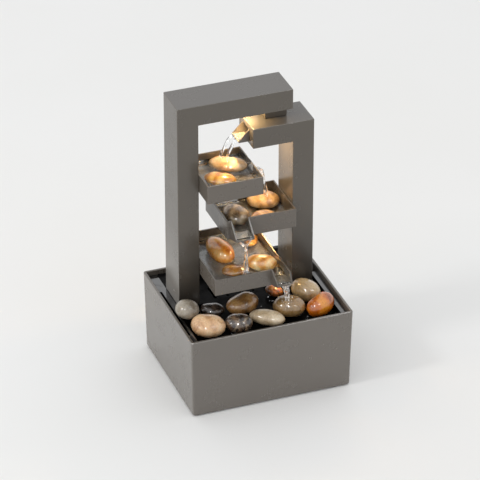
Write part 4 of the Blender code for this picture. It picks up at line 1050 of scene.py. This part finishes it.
def build_water():
    """Falling streams, drops and the pools in the trays."""
    chance = random.Random(SEED)
    build_spout_water(chance)
    build_upper_stream(chance)
    landing = build_middle_stream(chance)
    build_lower_stream(chance)
    build_stray_drops(chance)
    upper = millimetres("upper_tray")
    middle = millimetres("middle_tray")
    lower = millimetres("lower_tray")
    half = UPPER_OUTLET / 2 - CHUTE_WALL - CHUTE_GAP
    outlet = (UPPER_ROOM[1] - 0.5, upper[1] - 0.2, UPPER_OUTLET_Y - half, UPPER_OUTLET_Y + half)
    pool("upper_pool", UPPER_ROOM, UPPER_LEVEL, outlet, UPPER_SILL, (), stones_of("upper"))
    centre = middle[0] + MIDDLE_CHUTE_X
    half = MIDDLE_CHUTE / 2 - CHUTE_WALL - CHUTE_GAP
    outlet = (centre - half, centre + half, middle[2] + 0.2, MIDDLE_ROOM[2] + 0.5)
    pool("middle_pool", MIDDLE_ROOM, MIDDLE_LEVEL, outlet, MIDDLE_SILL, (), stones_of("middle"))
    wall = CHUTE_WALL + CHUTE_GAP
    outlet = (lower[1] - LOWER_CHUTE + wall, lower[1] - wall, lower[2] + 0.2, LOWER_ROOM[2] + 0.5)
    pool("lower_pool", LOWER_ROOM, LOWER_LEVEL, outlet, LOWER_SILL, ((landing.x, landing.y),),
         stones_of("lower"))


build_water()


# ---------------------------------------------------------------- CAD nodes that keep their shape

def dress(finish, *nodes):
    """Give CAD nodes a better material."""
    for node in nodes:
        mesh = frame["nodes"][node].data
        mesh.materials.clear()
        mesh.materials.append(finish)


dress(RUBBER, "foot_front_left", "foot_front_right", "foot_back_left", "foot_back_right", "cable_grommet",
      "suction_cup_1", "suction_cup_2", "suction_cup_3", "suction_cup_4", "front_shaft_bush",
      "rear_shaft_bush")
dress(PUMP_PLASTIC, "pump_housing", "impeller_chamber", "intake_cover")
dress(WHITE_PLASTIC, "flow_slider", "impeller")
dress(FERRITE, "rotor_magnet")
dress(CERAMIC, "impeller_shaft")
dress(CABLE, "pump_lead", "light_lead", "light_connector")
dress(HOSE, "riser_hose")
dress(LENS, "light_lens")
dress(BOARD, "light_board")
dress(CHIP, "light_chip")
dress(STEEL, "left_column_screw", "right_column_screw")


# ---------------------------------------------------------------- floor, light and camera

def build_floor():
    """A wide pale floor."""
    mesh = bpy.data.meshes.new("floor")
    reach = 6.0
    mesh.from_pydata([(-reach, -reach, 0), (reach, -reach, 0), (reach, reach, 0), (-reach, reach, 0)],
                     [], [(0, 1, 2, 3)])
    mat, tree, shader = start_material("studio_floor", Roughness=0.7)
    where = position(tree)
    tint = ramp(tree, speckle(tree, where, 3.0), ((0.3, tone(236, 236, 234)), (0.7, tone(238, 238, 237))))
    tree.links.new(tint, shader.inputs["Base Color"])
    mesh.materials.append(mat)
    floor = bpy.data.objects.new("floor", mesh)
    bpy.context.scene.collection.objects.link(floor)


def lamp(name, place, power, colour, aim, **settings):
    """An area light at a place in metres, turned towards aim."""
    data = bpy.data.lights.new(name, "AREA")
    data.energy = power
    data.color = colour
    for label, value in settings.items():
        setattr(data, label, value)
    light = bpy.data.objects.new(name, data)
    light.location = place
    light.rotation_euler = (Vector(aim) - Vector(place)).to_track_quat("-Z", "Y").to_euler()
    light.visible_camera = False
    bpy.context.scene.collection.objects.link(light)
    return light


def build_studio():
    """An even white sky, a small key lamp from the left and two lamps for highlights."""
    world = bpy.data.worlds.new("studio")
    world.use_nodes = True
    sky = world.node_tree.nodes["Background"]
    sky.inputs["Color"].default_value = (0.985, 0.99, 1.0, 1.0)
    sky.inputs["Strength"].default_value = SKY_STRENGTH
    bpy.context.scene.world = world
    middle = (0.0, 0.0, 0.15)
    lamp("key", KEY_PLACE, KEY_POWER, (1.0, 0.995, 0.98), middle, shape="SQUARE", size=0.35)
    for name, (place, power, width) in GLINTS.items():
        glint = lamp(name, place, power, (1.0, 1.0, 1.0), middle, shape="RECTANGLE", size=width,
                     size_y=0.7)
        glint.visible_diffuse = False


def warm_lamp(name, place, power, heading, **settings):
    """A small warm lamp on the upper assembly, its place in millimetres."""
    place = Vector(place) * MM
    light = lamp(name, place, power, GLOW, place + Vector(heading), **settings)
    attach(light, "tower")
    return light


def build_warm_light():
    """The lamp under the top beam, and weak lamps that spread its glow through the trays."""
    lens = millimetres("light_lens")
    beam = millimetres("inner_frame_shell")
    upper = millimetres("upper_tray")
    middle = millimetres("middle_tray")
    lower = millimetres("lower_tray")
    x, y = (lens[0] + lens[1]) / 2, (lens[2] + lens[3]) / 2
    down = (0.0, 0.0, -1.0)
    warm_lamp("fountain_lamp", (x, y, lens[4] - 0.6), LAMP_POWER, down, size=0.012)
    warm_lamp("light_off_the_water", (beam[0] + 3.0, y, beam[5] - 33.0), REFLECTED_POWER,
              (1.0, 0.0, 0.1), size=0.016)
    unseen = warm_lamp("light_under_upper_tray", (upper[1] - 3.0, y, upper[4] - 1.5), TRAY_GLOW_POWER,
                       (0.35, 0.1, -1.0), size=0.016)
    unseen.visible_glossy = False
    warm_lamp("light_under_middle_tray", (lower[1] - 7.0, y - 14.0, middle[4] - 1.5), TRAY_GLOW_POWER,
              (-0.25, 0.0, -1.0), size=0.016)
    beam_down = warm_lamp("lamp_reach", (x, y, lens[4] - 0.8), 1.0, down, size=0.012)
    wall_glow = warm_lamp("light_on_lower_wall", (lower[1] - 0.9, y - 20.0, lower[5] + 15.0),
                          WALL_GLOW_POWER, down, shape="RECTANGLE", size=0.003, size_y=0.045)
    wall_glow.data.spread = math.radians(40)
    beam_down.data.spread = math.radians(52)
    beam_down.data.use_nodes = True
    tree = beam_down.data.node_tree
    falloff = add(tree, "ShaderNodeLightFalloff", {"Strength": REACH_STRENGTH})
    tree.links.new(falloff.outputs["Linear"], tree.nodes["Emission"].inputs["Strength"])


def build_camera():
    """A long lens at the front left, looking down at the fountain."""
    back = direction(CAMERA_AZIMUTH - 90, CAMERA_ELEVATION)
    data = bpy.data.cameras.new("camera")
    data.sensor_width = 36.0
    data.lens = FOCAL_LENGTH
    data.clip_end = 50.0
    camera = bpy.data.objects.new("camera", data)
    camera.location = CAMERA_PLACE
    camera.rotation_euler = (-back).to_track_quat("-Z", "Y").to_euler()
    bpy.context.scene.collection.objects.link(camera)
    bpy.context.scene.camera = camera


build_floor()
build_studio()
build_warm_light()
build_camera()
bpy.context.scene.view_settings.view_transform = "Standard"
